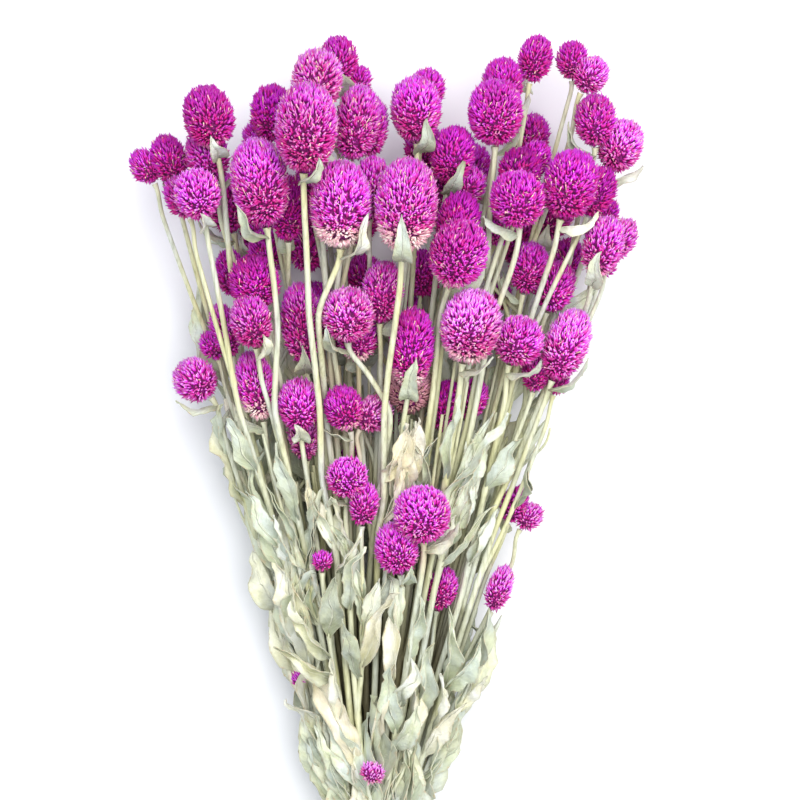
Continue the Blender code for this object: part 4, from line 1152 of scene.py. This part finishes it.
def on_skin(up, angle, lift):
    """A point this far outside the stems, at this angle round the bunch from its right."""
    level = min(int(up / SKIN_STEP), SKIN_LEVELS - 1)
    share = SKIN[level, int((angle + math.pi) / SKIN_TURN + 0.5) % SKIN.shape[1]]
    across, high = half_width(up) * math.cos(angle), half_depth(up) * math.sin(angle)
    place = np.array([across * share, up, middle_height(up) + high * share])
    return place + outward(up, angle) * lift


def hugging(up, angle, slope, length, halves, lift, rise):
    """A leaf against the outside of the stems, or None if it meets or hides a head or covers a leaf
    of the list."""
    step = length / (len(halves) - 1)
    out = outward(up, angle)
    points = []
    for k in range(len(halves)):
        points.append(on_skin(up, angle, lift + rise * k))
        up += step / math.hypot(1, slope)
        round_bunch = math.hypot(half_width(up) * math.sin(angle), half_depth(up) * math.cos(angle))
        angle += slope * step / round_bunch
    nearest = int(np.argmin(np.linalg.norm(STEM_POINTS - points[0], axis=1)))
    points[0] = STEM_POINTS[nearest]
    points = np.array(points)
    side = unit(np.cross(points[-1] - points[0], out))
    leaf = Blade(STEM_OWNERS[nearest], points, halves, side, LEAF_FOLD)
    heads = (np.arange(len(FOLIAGE.radii)) < SEEN_BALLS) | (FOLIAGE.owners < 0)
    apart = blade_samples(leaf)[:, None] - FOLIAGE.centres[None, heads]
    radii = FOLIAGE.radii[heads]
    hidden = (np.hypot(apart[..., 0], apart[..., 1]) < radii + HEAD_MARGIN) & (apart[..., 2] > 0)
    met = np.linalg.norm(apart, axis=2) < radii
    over = points[:, None] - MARKED_LEAVES[None]
    covers = (np.hypot(over[..., 0], over[..., 1]) < COVER) & (over[..., 2] > COVER_DEPTH)
    return None if met.any() or hidden[:, :SEEN_BALLS].any() or covers.any() else leaf


def filling_leaf(up, angle, kind, rng):
    half, slope = rng.uniform(*kind.half), rng.gauss(0, kind.slope)
    lift, rise = rng.uniform(*kind.lift), rng.uniform(*kind.rise)
    return hugging(up, angle, slope, rng.uniform(*kind.length), SMALL_LEAF * half, lift, rise)


def filled_out():
    """Twigs and leaves by a seeded rule, on both sides of the bunch, then leaves over its front."""
    rng = random.Random(FILLING_SEED)
    twigs, leaves = [], []
    while len(leaves) < ALL_ROUND.count:
        if rng.random() < UNDER_SIDE:
            up, angle = rng.uniform(*LEVELS_UNDER), rng.uniform(-math.pi + EDGE, -EDGE)
        else:
            up, angle = LEVELS_OVER * rng.random() ** 1.2, rng.uniform(-EDGE, math.pi + EDGE)
        if len(twigs) < TWIGS:
            slope = rng.choice((-1, 1)) * rng.uniform(*TWIG_SLOPES)
            length = rng.uniform(*TWIG_LENGTHS)
            twig = hugging(up, angle, slope, length, TWIG_HALVES, TWIG_LIFT, TWIG_RISE)
            twigs += [twig] if twig else []
        else:
            leaf = filling_leaf(up, angle, ALL_ROUND, rng)
            leaves += [leaf] if leaf else []
    while len(leaves) < ALL_ROUND.count + UPPER.count:
        up, angle = rng.uniform(*UPPER_LEVELS), rng.uniform(UPPER_EDGE, math.pi - UPPER_EDGE)
        leaf = filling_leaf(up, angle, UPPER, rng)
        leaves += [leaf] if leaf else []
    return twigs, leaves


def stalks_between():
    """Bare stalks inside the bunch, each halfway between two stems that lie near each other."""
    rng = random.Random(BARE_SEED)
    stalks = []
    while len(stalks) < BARE_STALKS:
        first, second = rng.choice(DENSE), rng.choice(DENSE)
        low, high = rng.uniform(*BARE_LOW), rng.uniform(*BARE_HIGH)
        if max(first[0, 1], second[0, 1]) > low or min(first[-1, 1], second[-1, 1]) < high:
            continue
        levels = np.arange(low, high, BARE_STEP)
        ways = [np.stack([np.interp(levels, line[:, 1], line[:, k]) for k in range(3)], 1)
                for line in (first, second)]
        apart = np.linalg.norm(ways[0] - ways[1], axis=1)
        if apart.min() > BARE_APART[0] and apart.max() < BARE_APART[1]:
            stalk = (ways[0] + ways[1]) / 2
            near = np.linalg.norm(stalk[:, None] - FOLIAGE.centres[None], axis=2) - FOLIAGE.radii
            if near.min() > BARE_CLEAR:
                nearest = int(np.argmin(np.linalg.norm(STEM_POINTS - stalk[0], axis=1)))
                root = STEM_POINTS[nearest] - [0, 3, 0]
                stalks.append((STEM_OWNERS[nearest], np.vstack([root, stalk])))
    return stalks


TWIG_BLADES, FILLING = filled_out()
BARE = stalks_between()
FOLIAGE.leaves += FILLING
for i in range(0, COUNT, 3):
    FOLIAGE.add_bract(i, BACK_START, BACK_RISE)

# The sheet that each leaf is made from, in millimetres, and the colours: each leaf's tone runs from
# green at 0 to tan at 1, and those that show most have their own
SHEET_ROWS = 14
SHEET_COLUMNS = 4
SHEET_THICKNESS = 0.35
SHEET_LOWEST = 0.5
TWIST = 0.9
SWAY = 0.5
SWAY_PACE = (3, 7)
FOLD = (0.1, 0.9)
ROLL = (-0.8, 2.4)
EDGE_WAVES = ((1, 0.2), (2, 0.1))
WAVE_PACE = (8, 15)
CRUMPLE = 1.6
CRUMPLE_SIZE = 8.0
FINER = 2.5
SHEET_SEED = 21
BRACT_GENTLE = 0.6
MIDRIB_EASE = 6
TONE_SPREAD = 0.05
LEAF_TONES = {
    (35, 164): 0.26, (27, 168): 0.1, (11, 164): 0.66, (1, 86): 0.6, (30, 75): 0.24,
    (35, 76): 0.22, (-20, 88): 0.46, (-35, 110): 0.5, (-20, 80): 0.22, (-20, 124): 0.4,
    (11, 55): 0.25, (15, 48): 0.6, (-5, 44): 0.66, (-24, 58): 0.55, (-20, 30): 0.3,
    (29, 43): 0.2, (45, 78): 0.1, (-58, 172): 0.15, (-38, 150): 0.12,
}
TONE_REACH = 9.0
TONES = (0.06, 0.12, 0.17, 0.21, 0.25, 0.3, 0.34, 0.38, 0.43, 0.5, 0.62)
BRACT_TONES = (0.15, 0.25, 0.32, 0.4)


def eased(line, passes):
    """A line with its corners rounded off, its ends kept."""
    line = line.copy()
    for _ in range(passes):
        line[1:-1] = (line[:-2] + 2 * line[1:-1] + line[2:]) / 4
    return line


def distances(line):
    steps = np.linalg.norm(np.diff(line, axis=0), axis=1)
    return np.concatenate([[0.0], np.cumsum(steps)])


# One sheet: a flat grid from its root at 0 to its tip at 1, whose columns lie across it
bpy.ops.mesh.primitive_grid_add(
    x_subdivisions=SHEET_COLUMNS, y_subdivisions=SHEET_ROWS, size=1, location=(0, 0.5, 0),
)
bpy.ops.object.transform_apply()
SHEET, SHEET_FACES = modelled(bpy.context.object)


def leaf_widths(along, rng):
    """Half the width of a leaf along it, as a share: narrow at its root, pointed at its tip."""
    wide = np.sin(math.pi * along ** rng.uniform(0.65, 0.95)) ** 0.9
    wide *= 1 + 0.14 * np.sin(8 * along + rng.uniform(0, 6))
    return np.maximum(wide, 0.12 * (1 - along))


def bract_widths(along, rng):
    """The same for the short leaf under a head, which is broad near its root."""
    return np.maximum(np.sin(math.pi * along ** 0.62) ** 0.8, 0.2 * (1 - along))


def dried_sheet(blade, widths, rng, gentle=1.0):
    """The sheet laid along a blade's midrib, then folded, rolled, twisted and crumpled."""
    rows = np.linspace(0, 1, SHEET_ROWS + 1)
    marks = distances(blade.points)
    midrib = [np.interp(rows, marks / marks[-1], blade.points[:, k]) for k in range(3)]
    midrib = eased(np.stack(midrib, axis=1), MIDRIB_EASE)
    tangent = unit(np.gradient(midrib, axis=0))
    side = unit(blade.side - tangent * (tangent @ blade.side)[:, None])
    normal = np.cross(side, tangent)
    twist = rng.gauss(0, TWIST) * gentle * rows ** 1.3 + rng.uniform(-0.4, 0.4) * gentle
    turned = side * np.cos(twist)[:, None] + normal * np.sin(twist)[:, None]
    raised = normal * np.cos(twist)[:, None] - side * np.sin(twist)[:, None]
    broad = blade.halves.max()
    sway = SWAY * min(broad, 5) * np.sin(rng.uniform(*SWAY_PACE) * rows) * rows
    sway = sway * rng.choice((-1, 1)) * gentle
    midrib = midrib + turned * sway[:, None]
    row = np.rint(SHEET[:, 1] * SHEET_ROWS).astype(int)
    across, along = 2 * SHEET[:, 0], SHEET[:, 1]
    half = broad * widths(rows, rng)[row]
    fold = rng.uniform(*FOLD) * gentle
    roll = np.where(across > 0, rng.uniform(*ROLL), rng.uniform(*ROLL)) * gentle + 1e-3
    roll = roll * (0.4 + 0.6 * along)
    out = np.abs(across)
    reach = np.sign(across) * half * (np.sin(fold + roll * out) - math.sin(fold)) / roll
    height = half * (math.cos(fold) - np.cos(fold + roll * out)) / roll
    for number, share in EDGE_WAVES:
        phase = np.where(across > 0, rng.uniform(0, 6), rng.uniform(0, 6))
        pace = number * rng.uniform(*WAVE_PACE)
        height += share * broad * gentle * out ** 1.5 * np.sin(pace * along + phase)
    points = midrib[row] + turned[row] * reach[:, None] + raised[row] * height[:, None]
    own = Vector((rng.uniform(0, 900), 0, 0))
    crumple = np.array([noise.noise_vector(Vector(place) / CRUMPLE_SIZE + own) for place in points])
    finer = [noise.noise_vector(Vector(place) * FINER / CRUMPLE_SIZE - own) for place in points]
    crumple += 0.5 * np.array(finer)
    return points + crumple * (CRUMPLE * gentle * np.minimum(4 * along, 1))[:, None]


def leaf_tone(root, rng):
    """Where the leaf's colour lies between green and tan."""
    for (across, up), tone in LEAF_TONES.items():
        if math.hypot(root[0] - across, root[1] - up) < TONE_REACH:
            return tone + rng.uniform(-TONE_SPREAD, TONE_SPREAD)
    return rng.choice(TONES) + rng.uniform(-TONE_SPREAD, TONE_SPREAD)


def leaf_tints(tone, points, rng):
    """For every point of a leaf: how far across, how far along, its tone, and how bright: a random
    tone of its own, darkened by painted shade inside the bunch and at its root.
    """
    # Painted shade: deep inside the bunch, and at the leaf's root where it lies hidden under others
    own = rng.uniform(0.6, 1) * (1 - painted_shade_inside(points)) * np.interp(SHEET[:, 1], (0, 0.45), (0.3, 1))
    return np.column_stack([SHEET[:, 0] + 0.5, SHEET[:, 1], np.full(len(SHEET), tone), own])


# How deep inside the bunch the painted shade is full, and how much less of it where the bunch is
# open
PAINTED_SHADE_DEPTH = 7.0
LEAFY_PART = (90, 180)
OPEN_SHARE = 0.35


def painted_shade_inside(points):
    """How much painted shade each point gets: 0 outside the bunch, 1 deep inside its leafy part."""
    up = points[:, 1]
    across = points[:, 0] / half_width(up)
    high = (points[:, 2] - middle_height(up)) / half_depth(up)
    level = np.clip(up / SKIN_STEP, 0, SKIN_LEVELS - 1).astype(int)
    column = ((np.arctan2(high, across) + math.pi) / SKIN_TURN + 0.5).astype(int) % SKIN.shape[1]
    inside_shade = (SKIN[level, column] - np.hypot(across, high)) * half_depth(up)
    return np.clip(inside_shade / PAINTED_SHADE_DEPTH, 0, 1) * np.interp(up, LEAFY_PART, (1, OPEN_SHARE))


def from_midrib(material):
    """How far from the midrib, between 0 and 1."""
    across = tint_of(material)[0]
    return computed(material, "ABSOLUTE", computed(material, "MULTIPLY_ADD", across, 2.0, -1.0))


def side_veins(material):
    """Side veins that slant up from the midrib to the edge, as a wave between 0 and 1."""
    along = times(material, tint_of(material)[1], 52.0)
    slanted = computed(material, "MULTIPLY_ADD", from_midrib(material), -14.0, along)
    bent = computed(material, "MULTIPLY_ADD", noised(material, (160, 160, 160)), 7.0, slanted)
    wave = computed(material, "MULTIPLY_ADD", computed(material, "SINE", bent), 0.5, 0.5)
    return computed(material, "POWER", wave, 6.0)


def leaf_colour(material):
    """The leaf's tone, patchy and in places yellower, darkened by painted shade inside the bunch
    and at its root, with pale veins and a darker, worn edge."""
    tone, own = tint_of(material)[2:]
    colour = ramp(
        material, tone,
        (0.0, (0.43, 0.46, 0.37)), (0.2, (0.63, 0.69, 0.6)), (0.4, (0.79, 0.81, 0.73)),
        (0.6, (0.87, 0.84, 0.73)), (0.75, (0.8, 0.72, 0.57)), (0.95, (0.5, 0.38, 0.25)),
    )
    patches = noised(material, (170, 110, 170), detail=5)
    patches = ramp(material, patches, (0.33, (0.7, 0.7, 0.62)), (0.66, (1.1, 1.1, 1.08)))
    colour = mixed(material, 0.8, colour, patches, "MULTIPLY")
    yellower = noised(material, (95, 65, 95))
    yellower = ramp(material, yellower, (0.36, (0.98, 1.0, 1.1)), (0.64, (1.03, 1.02, 0.88)))
    colour = shaded(material, colour, yellower)
    # shade: each leaf's random tone, darkened by the painted shade inside the bunch and at its root
    shade = ramp(material, own, (0.0, (0.2, 0.16, 0.11)), (0.35, (0.66, 0.68, 0.6)),
                 (0.75, (1.0, 1.0, 0.98)))
    colour = shaded(material, colour, shade)
    rib = share(material, from_midrib(material), (0.03, 1), (0.12, 0))
    colour = mixed(material, times(material, rib, 0.5), colour, (0.82, 0.83, 0.66))
    veins = times(material, side_veins(material), 0.1)
    colour = mixed(material, veins, colour, (0.8, 0.83, 0.68))
    edge = share(material, from_midrib(material), (0.85, 0), (1.0, 0.55))
    colour = mixed(material, edge, colour, (0.42, 0.42, 0.3))
    worn = times(material, noised(material, (420, 420, 420)), from_midrib(material))
    worn = share(material, worn, (0.5, 0), (0.62, 1))
    return mixed(material, times(material, worn, 0.5), colour, (0.52, 0.38, 0.22))


def leaf_relief(material):
    rough = noised(material, (420, 420, 420), detail=5)
    rib = share(material, from_midrib(material), (0.02, 1), (0.1, 0))
    relief = computed(material, "MULTIPLY_ADD", side_veins(material), 0.2, rough)
    return computed(material, "ADD", relief, rib)


dry_leaf = finish("dry_leaf", leaf_colour, 0.75, leaf_relief, 0.0005, Specular_IOR_Level=0.25)

# The seeds make the crumples the same in each run
noise.seed_set(SHEET_SEED)
rng = random.Random(SHEET_SEED)
for number in range(max(SLOT_NODE) + 1):
    heap = Heap()
    for blade in FOLIAGE.leaves:
        if SLOT_NODE[SLOT_OF[blade.stem]] == number:
            sheet = dried_sheet(blade, leaf_widths, rng)
            tints = leaf_tints(leaf_tone(blade.points[0], rng), sheet, rng)
            heap.add(sheet[None], SHEET_FACES, tints[None])
    for blade in FOLIAGE.bracts:
        if SLOT_NODE[SLOT_OF[blade.stem]] == number:
            sheet = dried_sheet(blade, bract_widths, rng, BRACT_GENTLE)
            tints = leaf_tints(rng.choice(BRACT_TONES), sheet, rng)
            heap.add(sheet[None], SHEET_FACES, tints[None])
    leaves = heap.piece(f"leaves_{number + 1:02}", SHEET_LOWEST, dry_leaf)
    bpy.context.view_layer.objects.active = leaves
    leaves.select_set(True)
    bpy.ops.object.modifier_add(type="SOLIDIFY")
    leaves.modifiers[0].thickness = SHEET_THICKNESS * MM
    leaves.modifiers[0].offset = 0
    bpy.ops.object.modifier_apply(modifier=leaves.modifiers[0].name)
    bpy.ops.object.shade_smooth_by_angle(angle=math.radians(60))
    leaves.select_set(False)
    riding(leaves, "dried_stem_and_leaf", f"leafy_stems_{number + 1:02}")

# Stems
# Each stem is a dry, pale green straw 2 to 3 mm thick, with swollen joints where its leaves grow.
# It widens a little towards its cut end, and into a small cup under its head. Thin twigs fork off
# it, and bare stalks lie between. All are held by the twine.
STEM_STEP = 4.0
STEM_LOWEST = 0.4
STEM_BUTT = 1.16
STEM_TIP = (0.42, 0.019)
JOINT_SWELL = 0.3
JOINT_LENGTH = 1.8
CUP_SWELL = 0.5
CUP_LENGTH = 1.6
STEM_SIDES = 8
STEM_EASING = 3
TWIG_EASING = 5
TWIG_RADII = (1.0, 0.45)
SIDE_BRANCH_RADII = (1.0, 0.85)
SIDE_BRANCH_BEND = 0.35
SIDE_BRANCH_POINTS = 24
BARE_RADII = (1.1, 0.7)


def stem_radii(i, line):
    """How thick stem i is along a line: a taper, its joints, and the cup under its head."""
    along = distances(line)
    tip = STEM_TIP[0] + STEM_TIP[1] * WIDTH[i]
    butt = STEM_BUTT if PARENT[i] == i else 0.3 + 0.7 * tip
    radii = STEM_RADIUS * np.interp(along / along[-1], [0, 1], (butt, tip))
    joints = [blade.points[0] for blade in FOLIAGE.leaves + TWIG_BLADES if blade.stem == i]
    joints += [LINES[k][0] for k in BRANCHES if PARENT[k] == i]
    swell = np.zeros(len(line))
    for joint in joints:
        away = np.linalg.norm(line - joint, axis=1)
        swell = np.maximum(swell, JOINT_SWELL * np.exp(-(away / JOINT_LENGTH) ** 2))
    swell = np.maximum(swell, CUP_SWELL * np.exp(-((along[-1] - along) / CUP_LENGTH) ** 2))
    return radii * (1 + swell)


def side_branch(i):
    """Points up the branch to a head behind, which leaves its stem and bends to its head."""
    line = DENSE[HEADS[i].stem]
    start = int(np.argmin(np.abs(line[:, 1] - HEADS[i].fork)))
    foot = MIDDLES[i] - AXES[i] * (HEIGHT[i] / 2 - 1)
    bend = SIDE_BRANCH_BEND * (foot[1] - line[start, 1])
    leaving = line[start] + unit(line[start + 2] - line[start]) * bend
    arriving = foot - AXES[i] * bend
    return np.array(interpolate_bezier(line[start], leaving, arriving, foot, SIDE_BRANCH_POINTS))


def stem_colour(material):
    """Straw green in long streaks, pinkish brown in places, and darker and browner inside the bunch
    as painted shade.
    """
    streaks = noised(material, (900, 45, 900), detail=4)
    green = ramp(material, streaks, (0.25, (0.36, 0.37, 0.25)), (0.5, (0.58, 0.59, 0.43)),
                 (0.75, (0.7, 0.71, 0.57)))
    yellower = noised(material, (60, 14, 60))
    yellower = ramp(material, yellower, (0.36, (0.96, 1.0, 1.16)), (0.64, (1.03, 1.01, 0.78)))
    green = shaded(material, green, yellower)
    pink = share(material, noised(material, (26, 8, 26)), (0.58, 0), (0.72, 1))
    green = mixed(material, times(material, pink, 0.55), green, (0.5, 0.31, 0.24))
    # Painted shade: stems deep inside the bunch are darkened and browned
    inside_shade = added(material, "ShaderNodeAttribute", attribute_name="inside_shade").outputs["Fac"]
    inside_shade = ramp(material, inside_shade, (0.3, (1, 1, 1)), (0.7, (0.68, 0.67, 0.58)),
                  (1.0, (0.24, 0.21, 0.16)))
    return shaded(material, green, inside_shade)


def stem_relief(material):
    return noised(material, (1500, 60, 1500))


dry_stem = finish("dry_stem", stem_colour, 0.62, stem_relief, 0.0002, Specular_IOR_Level=0.3)


def round_rods(name, lines, radii, sides, material):
    """One mesh of round rods with closed ends, each along a line with its own radii."""
    curve = bpy.data.curves.new(name, "CURVE")
    curve.dimensions = "3D"
    curve.bevel_depth = MM
    curve.bevel_resolution = sides // 2 - 2
    curve.use_fill_caps = True
    for line, thick in zip(lines, radii):
        spline = curve.splines.new("POLY")
        spline.points.add(len(line) - 1)
        places = np.column_stack([line * MM, np.ones(len(line))])
        spline.points.foreach_set("co", places.ravel())
        spline.points.foreach_set("radius", thick)
    guide = bpy.data.objects.new(name, curve)
    bpy.context.scene.collection.objects.link(guide)
    bpy.context.view_layer.objects.active = guide
    guide.select_set(True)
    bpy.ops.object.convert(target="MESH")
    guide.data.materials.clear()
    guide.data.materials.append(material)
    points = np.empty(3 * len(guide.data.vertices))
    guide.data.vertices.foreach_get("co", points)
    # Each point's painted shade, by how deep inside the bunch it lies
    inside_shade = guide.data.attributes.new("inside_shade", "FLOAT", "POINT")
    inside_shade.data.foreach_set("value", painted_shade_inside(points.reshape(-1, 3) / MM))
    bpy.ops.object.shade_smooth_by_angle(angle=math.radians(50))
    guide.select_set(False)
    return guide


for number in range(max(SLOT_NODE) + 1):
    stems = [i for i in range(COUNT) if SLOT_NODE[SLOT_OF[i]] == number]
    lines = [eased(evenly(WHOLE_LINES[i], STEM_STEP), STEM_EASING) for i in stems]
    radii = [stem_radii(i, line) for i, line in zip(stems, lines)]
    for twig in TWIG_BLADES:
        if twig.stem in stems:
            lines.append(eased(evenly(twig.points, STEM_STEP), TWIG_EASING))
            radii.append(np.linspace(*TWIG_RADII, len(lines[-1])))
    for stem, stalk in BARE:
        if stem in stems:
            lines.append(eased(stalk, STEM_EASING))
            radii.append(np.linspace(*BARE_RADII, len(stalk)))
    for i in range(COUNT, len(HEADS)):
        if HEADS[i].stem in stems:
            lines.append(side_branch(i))
            radii.append(np.linspace(*SIDE_BRANCH_RADII, len(lines[-1])))
    for line, thick in zip(lines, radii):
        line[:, 2] = np.maximum(line[:, 2], thick + STEM_LOWEST)
    rods = round_rods(f"stems_{number + 1:02}", lines, radii, STEM_SIDES, dry_stem)
    riding(rods, "dried_stem_and_leaf", f"leafy_stems_{number + 1:02}")

# Twine tie
# Coarse jute twine of three twisted plies, wound five times round the stems and tied on top with a
# knot. Loose fibres stand out of it all over.
PLIES = 3
PLY_RADIUS = 0.58
PLY_ASIDE = 0.98 * PLY_RADIUS
PLY_TURN = 5.2
PLY_SIDES = 6
TWINE_STEP = 0.9
KNOT_HALF_WIDTH = 0.95
KNOT_HALF_LENGTH = 0.85
KNOT_RISE = 1.1
LOOSE_ENDS = (-24, 19)
FIBRE_SEED = 5
FIBRES = 420
FIBRE_LENGTH = 3.4
FIBRE_RADIUS = 0.05


def plies_along(path):
    """The plies of a piece of twine, wound round each other along its path."""
    path = evenly(path, TWINE_STEP)
    tangent = unit(np.gradient(path, axis=0))
    side = unit(np.cross(tangent, np.array([0.0, 1.0, 0.13])))
    over = np.cross(side, tangent)
    turn = math.tau * distances(path) / PLY_TURN
    plies = []
    for ply in range(PLIES):
        angle = (turn + math.tau * ply / PLIES)[:, None]
        plies.append(path + (side * np.cos(angle) + over * np.sin(angle)) * PLY_ASIDE)
    return plies


def wound_turns():
    """The middle of the twine on its way round the stems, from knot to knot."""
    radius = TIE_HEIGHT - TWINE / 2
    turn = np.linspace(0, math.tau * TURNS, 48 * TURNS)
    along = np.interp(turn, [0, turn[-1]], [-TIE_HALF + TWINE / 2, TIE_HALF - TWINE / 2])
    return np.stack([radius * np.sin(turn), along, TIE_HEIGHT + radius * np.cos(turn)], axis=1)


def knot_path():
    """An overhand knot that sits on the turns, as a loop that passes through itself."""
    turn = np.linspace(0.15, math.tau - 0.15, 60)
    across = (np.sin(turn) + 2 * np.sin(2 * turn)) * KNOT_HALF_WIDTH
    along = (np.cos(turn) - 2 * np.cos(2 * turn)) * KNOT_HALF_LENGTH
    high = 2 * TIE_HEIGHT + 1.3 - KNOT_RISE * np.sin(3 * turn)
    return np.stack([across, along, high], axis=1)


def loose_end(reach):
    """A short end that comes out of the knot and hangs down over the side of the tie."""
    top, long = TIE_HEIGHT + TIE_OUTSIDE, abs(reach)
    corners = np.array([
        (0, 0, top + TWINE * 0.3),
        (reach * 0.35, -long * 0.15, top + TWINE * 0.6),
        (reach * 0.75, -long * 0.42, top - TWINE * 1.1),
        (reach, -long * 0.8, top - TWINE * 2.6),
    ])
    return eased(evenly(corners, 1.5), 12)


def twine_colour(material):
    strands = noised(material, (700, 700, 700), detail=5)
    return ramp(material, strands, (0.3, (0.2, 0.12, 0.055)), (0.5, (0.42, 0.28, 0.14)),
                (0.7, (0.62, 0.46, 0.27)))


def twine_relief(material):
    return noised(material, (1800, 1800, 1800))


jute = finish("jute", twine_colour, 0.9, twine_relief, 0.0004, Sheen_Weight=0.4)

# The turns, the knot and its loose ends, and the share of the fibres that each has
TWINE_PATHS = [wound_turns(), knot_path(), *map(loose_end, LOOSE_ENDS)]
FIBRE_SHARES = (0.72, 0.06, 0.12, 0.1)
plies = [ply for path in TWINE_PATHS for ply in plies_along(path)]
draw = np.random.default_rng(FIBRE_SEED)
fibres = []
for _ in range(FIBRES):
    path = TWINE_PATHS[draw.choice(len(TWINE_PATHS), p=FIBRE_SHARES)]
    k = draw.integers(1, len(path) - 1)
    out = unit(draw.normal(0, 1, 3))
    along = unit(path[k + 1] - path[k - 1])
    bend = unit(out + along * draw.uniform(-1.5, 1.5))
    root = path[k] + out * TWINE * 0.4
    length = FIBRE_LENGTH * draw.uniform(0.4, 1)
    fibre = root + bend * np.linspace(0, length, 4)[:, None]
    fibre += unit(draw.normal(0, 1, 3)) * (np.linspace(0, 1, 4) ** 2)[:, None] * length * 0.4
    if fibre[:, 2].min() > 0.2:
        fibres.append(fibre)
lines = plies + fibres
radii = [np.full(len(ply), PLY_RADIUS) for ply in plies]
radii += [np.linspace(FIBRE_RADIUS, 0.4 * FIBRE_RADIUS, 4) for _ in fibres]
tie = round_rods("twine", lines, radii, PLY_SIDES, jute)
riding(tie, "jute_twine", "twine_tie")

# Floor, light and camera
# The bunch lies on a plain white floor in soft studio light from the upper right, and the camera
# looks straight down on it.
PIXEL = 0.44
PICTURE = 800 * PIXEL * MM
CAMERA_PLACE = (28 * PIXEL * MM, 465 * PIXEL * MM, 1.9)
CAMERA_FOCUS = 0.07
LIT = (0, 0.2, 0)
FLOOR_SIZE = 6
FLOOR_GAP = 0.0003


def floor_colour(material):
    blotches = noised(material, (3, 3, 3))
    return ramp(material, blotches, (0.3, (0.87, 0.885, 0.92)), (0.7, (0.89, 0.9, 0.92)))


bpy.ops.mesh.primitive_plane_add(size=FLOOR_SIZE, location=(0, 0, -FLOOR_GAP))
floor = bpy.context.object
floor.name = "floor"
floor.data.materials.append(finish("white_floor", floor_colour, 0.9))


def area_light(name, place, aim, size, watts, colour):
    bpy.ops.object.light_add(type="AREA", location=place)
    light = bpy.context.object
    light.name = name
    light.data.size = size
    light.data.energy = watts
    light.data.color = colour
    light.rotation_mode = "QUATERNION"
    light.rotation_quaternion = (Vector(aim) - Vector(place)).to_track_quat("-Z", "Y")


area_light("key", (0.35, 0.5, 1.3), aim=LIT, size=1.5, watts=31, colour=(1.0, 0.985, 0.97))
area_light("fill", (-0.9, -0.1, 0.9), aim=LIT, size=0.9, watts=3, colour=(0.88, 0.92, 1.0))

world = bpy.data.worlds.new("studio")
bpy.context.scene.world = world
world.use_nodes = True
world.node_tree.nodes["Background"].inputs["Color"].default_value = (0.91, 0.94, 1.0, 1)
world.node_tree.nodes["Background"].inputs["Strength"].default_value = 0.62
bpy.context.scene.view_settings.view_transform = "Standard"

bpy.ops.object.camera_add(location=CAMERA_PLACE, rotation=(0, 0, 0))
camera = bpy.context.object
camera.data.sensor_width = 36
camera.data.lens = 36 * (CAMERA_PLACE[2] - CAMERA_FOCUS) / PICTURE
camera.data.clip_start = 0.05
camera.data.clip_end = 20
bpy.context.scene.camera = camera
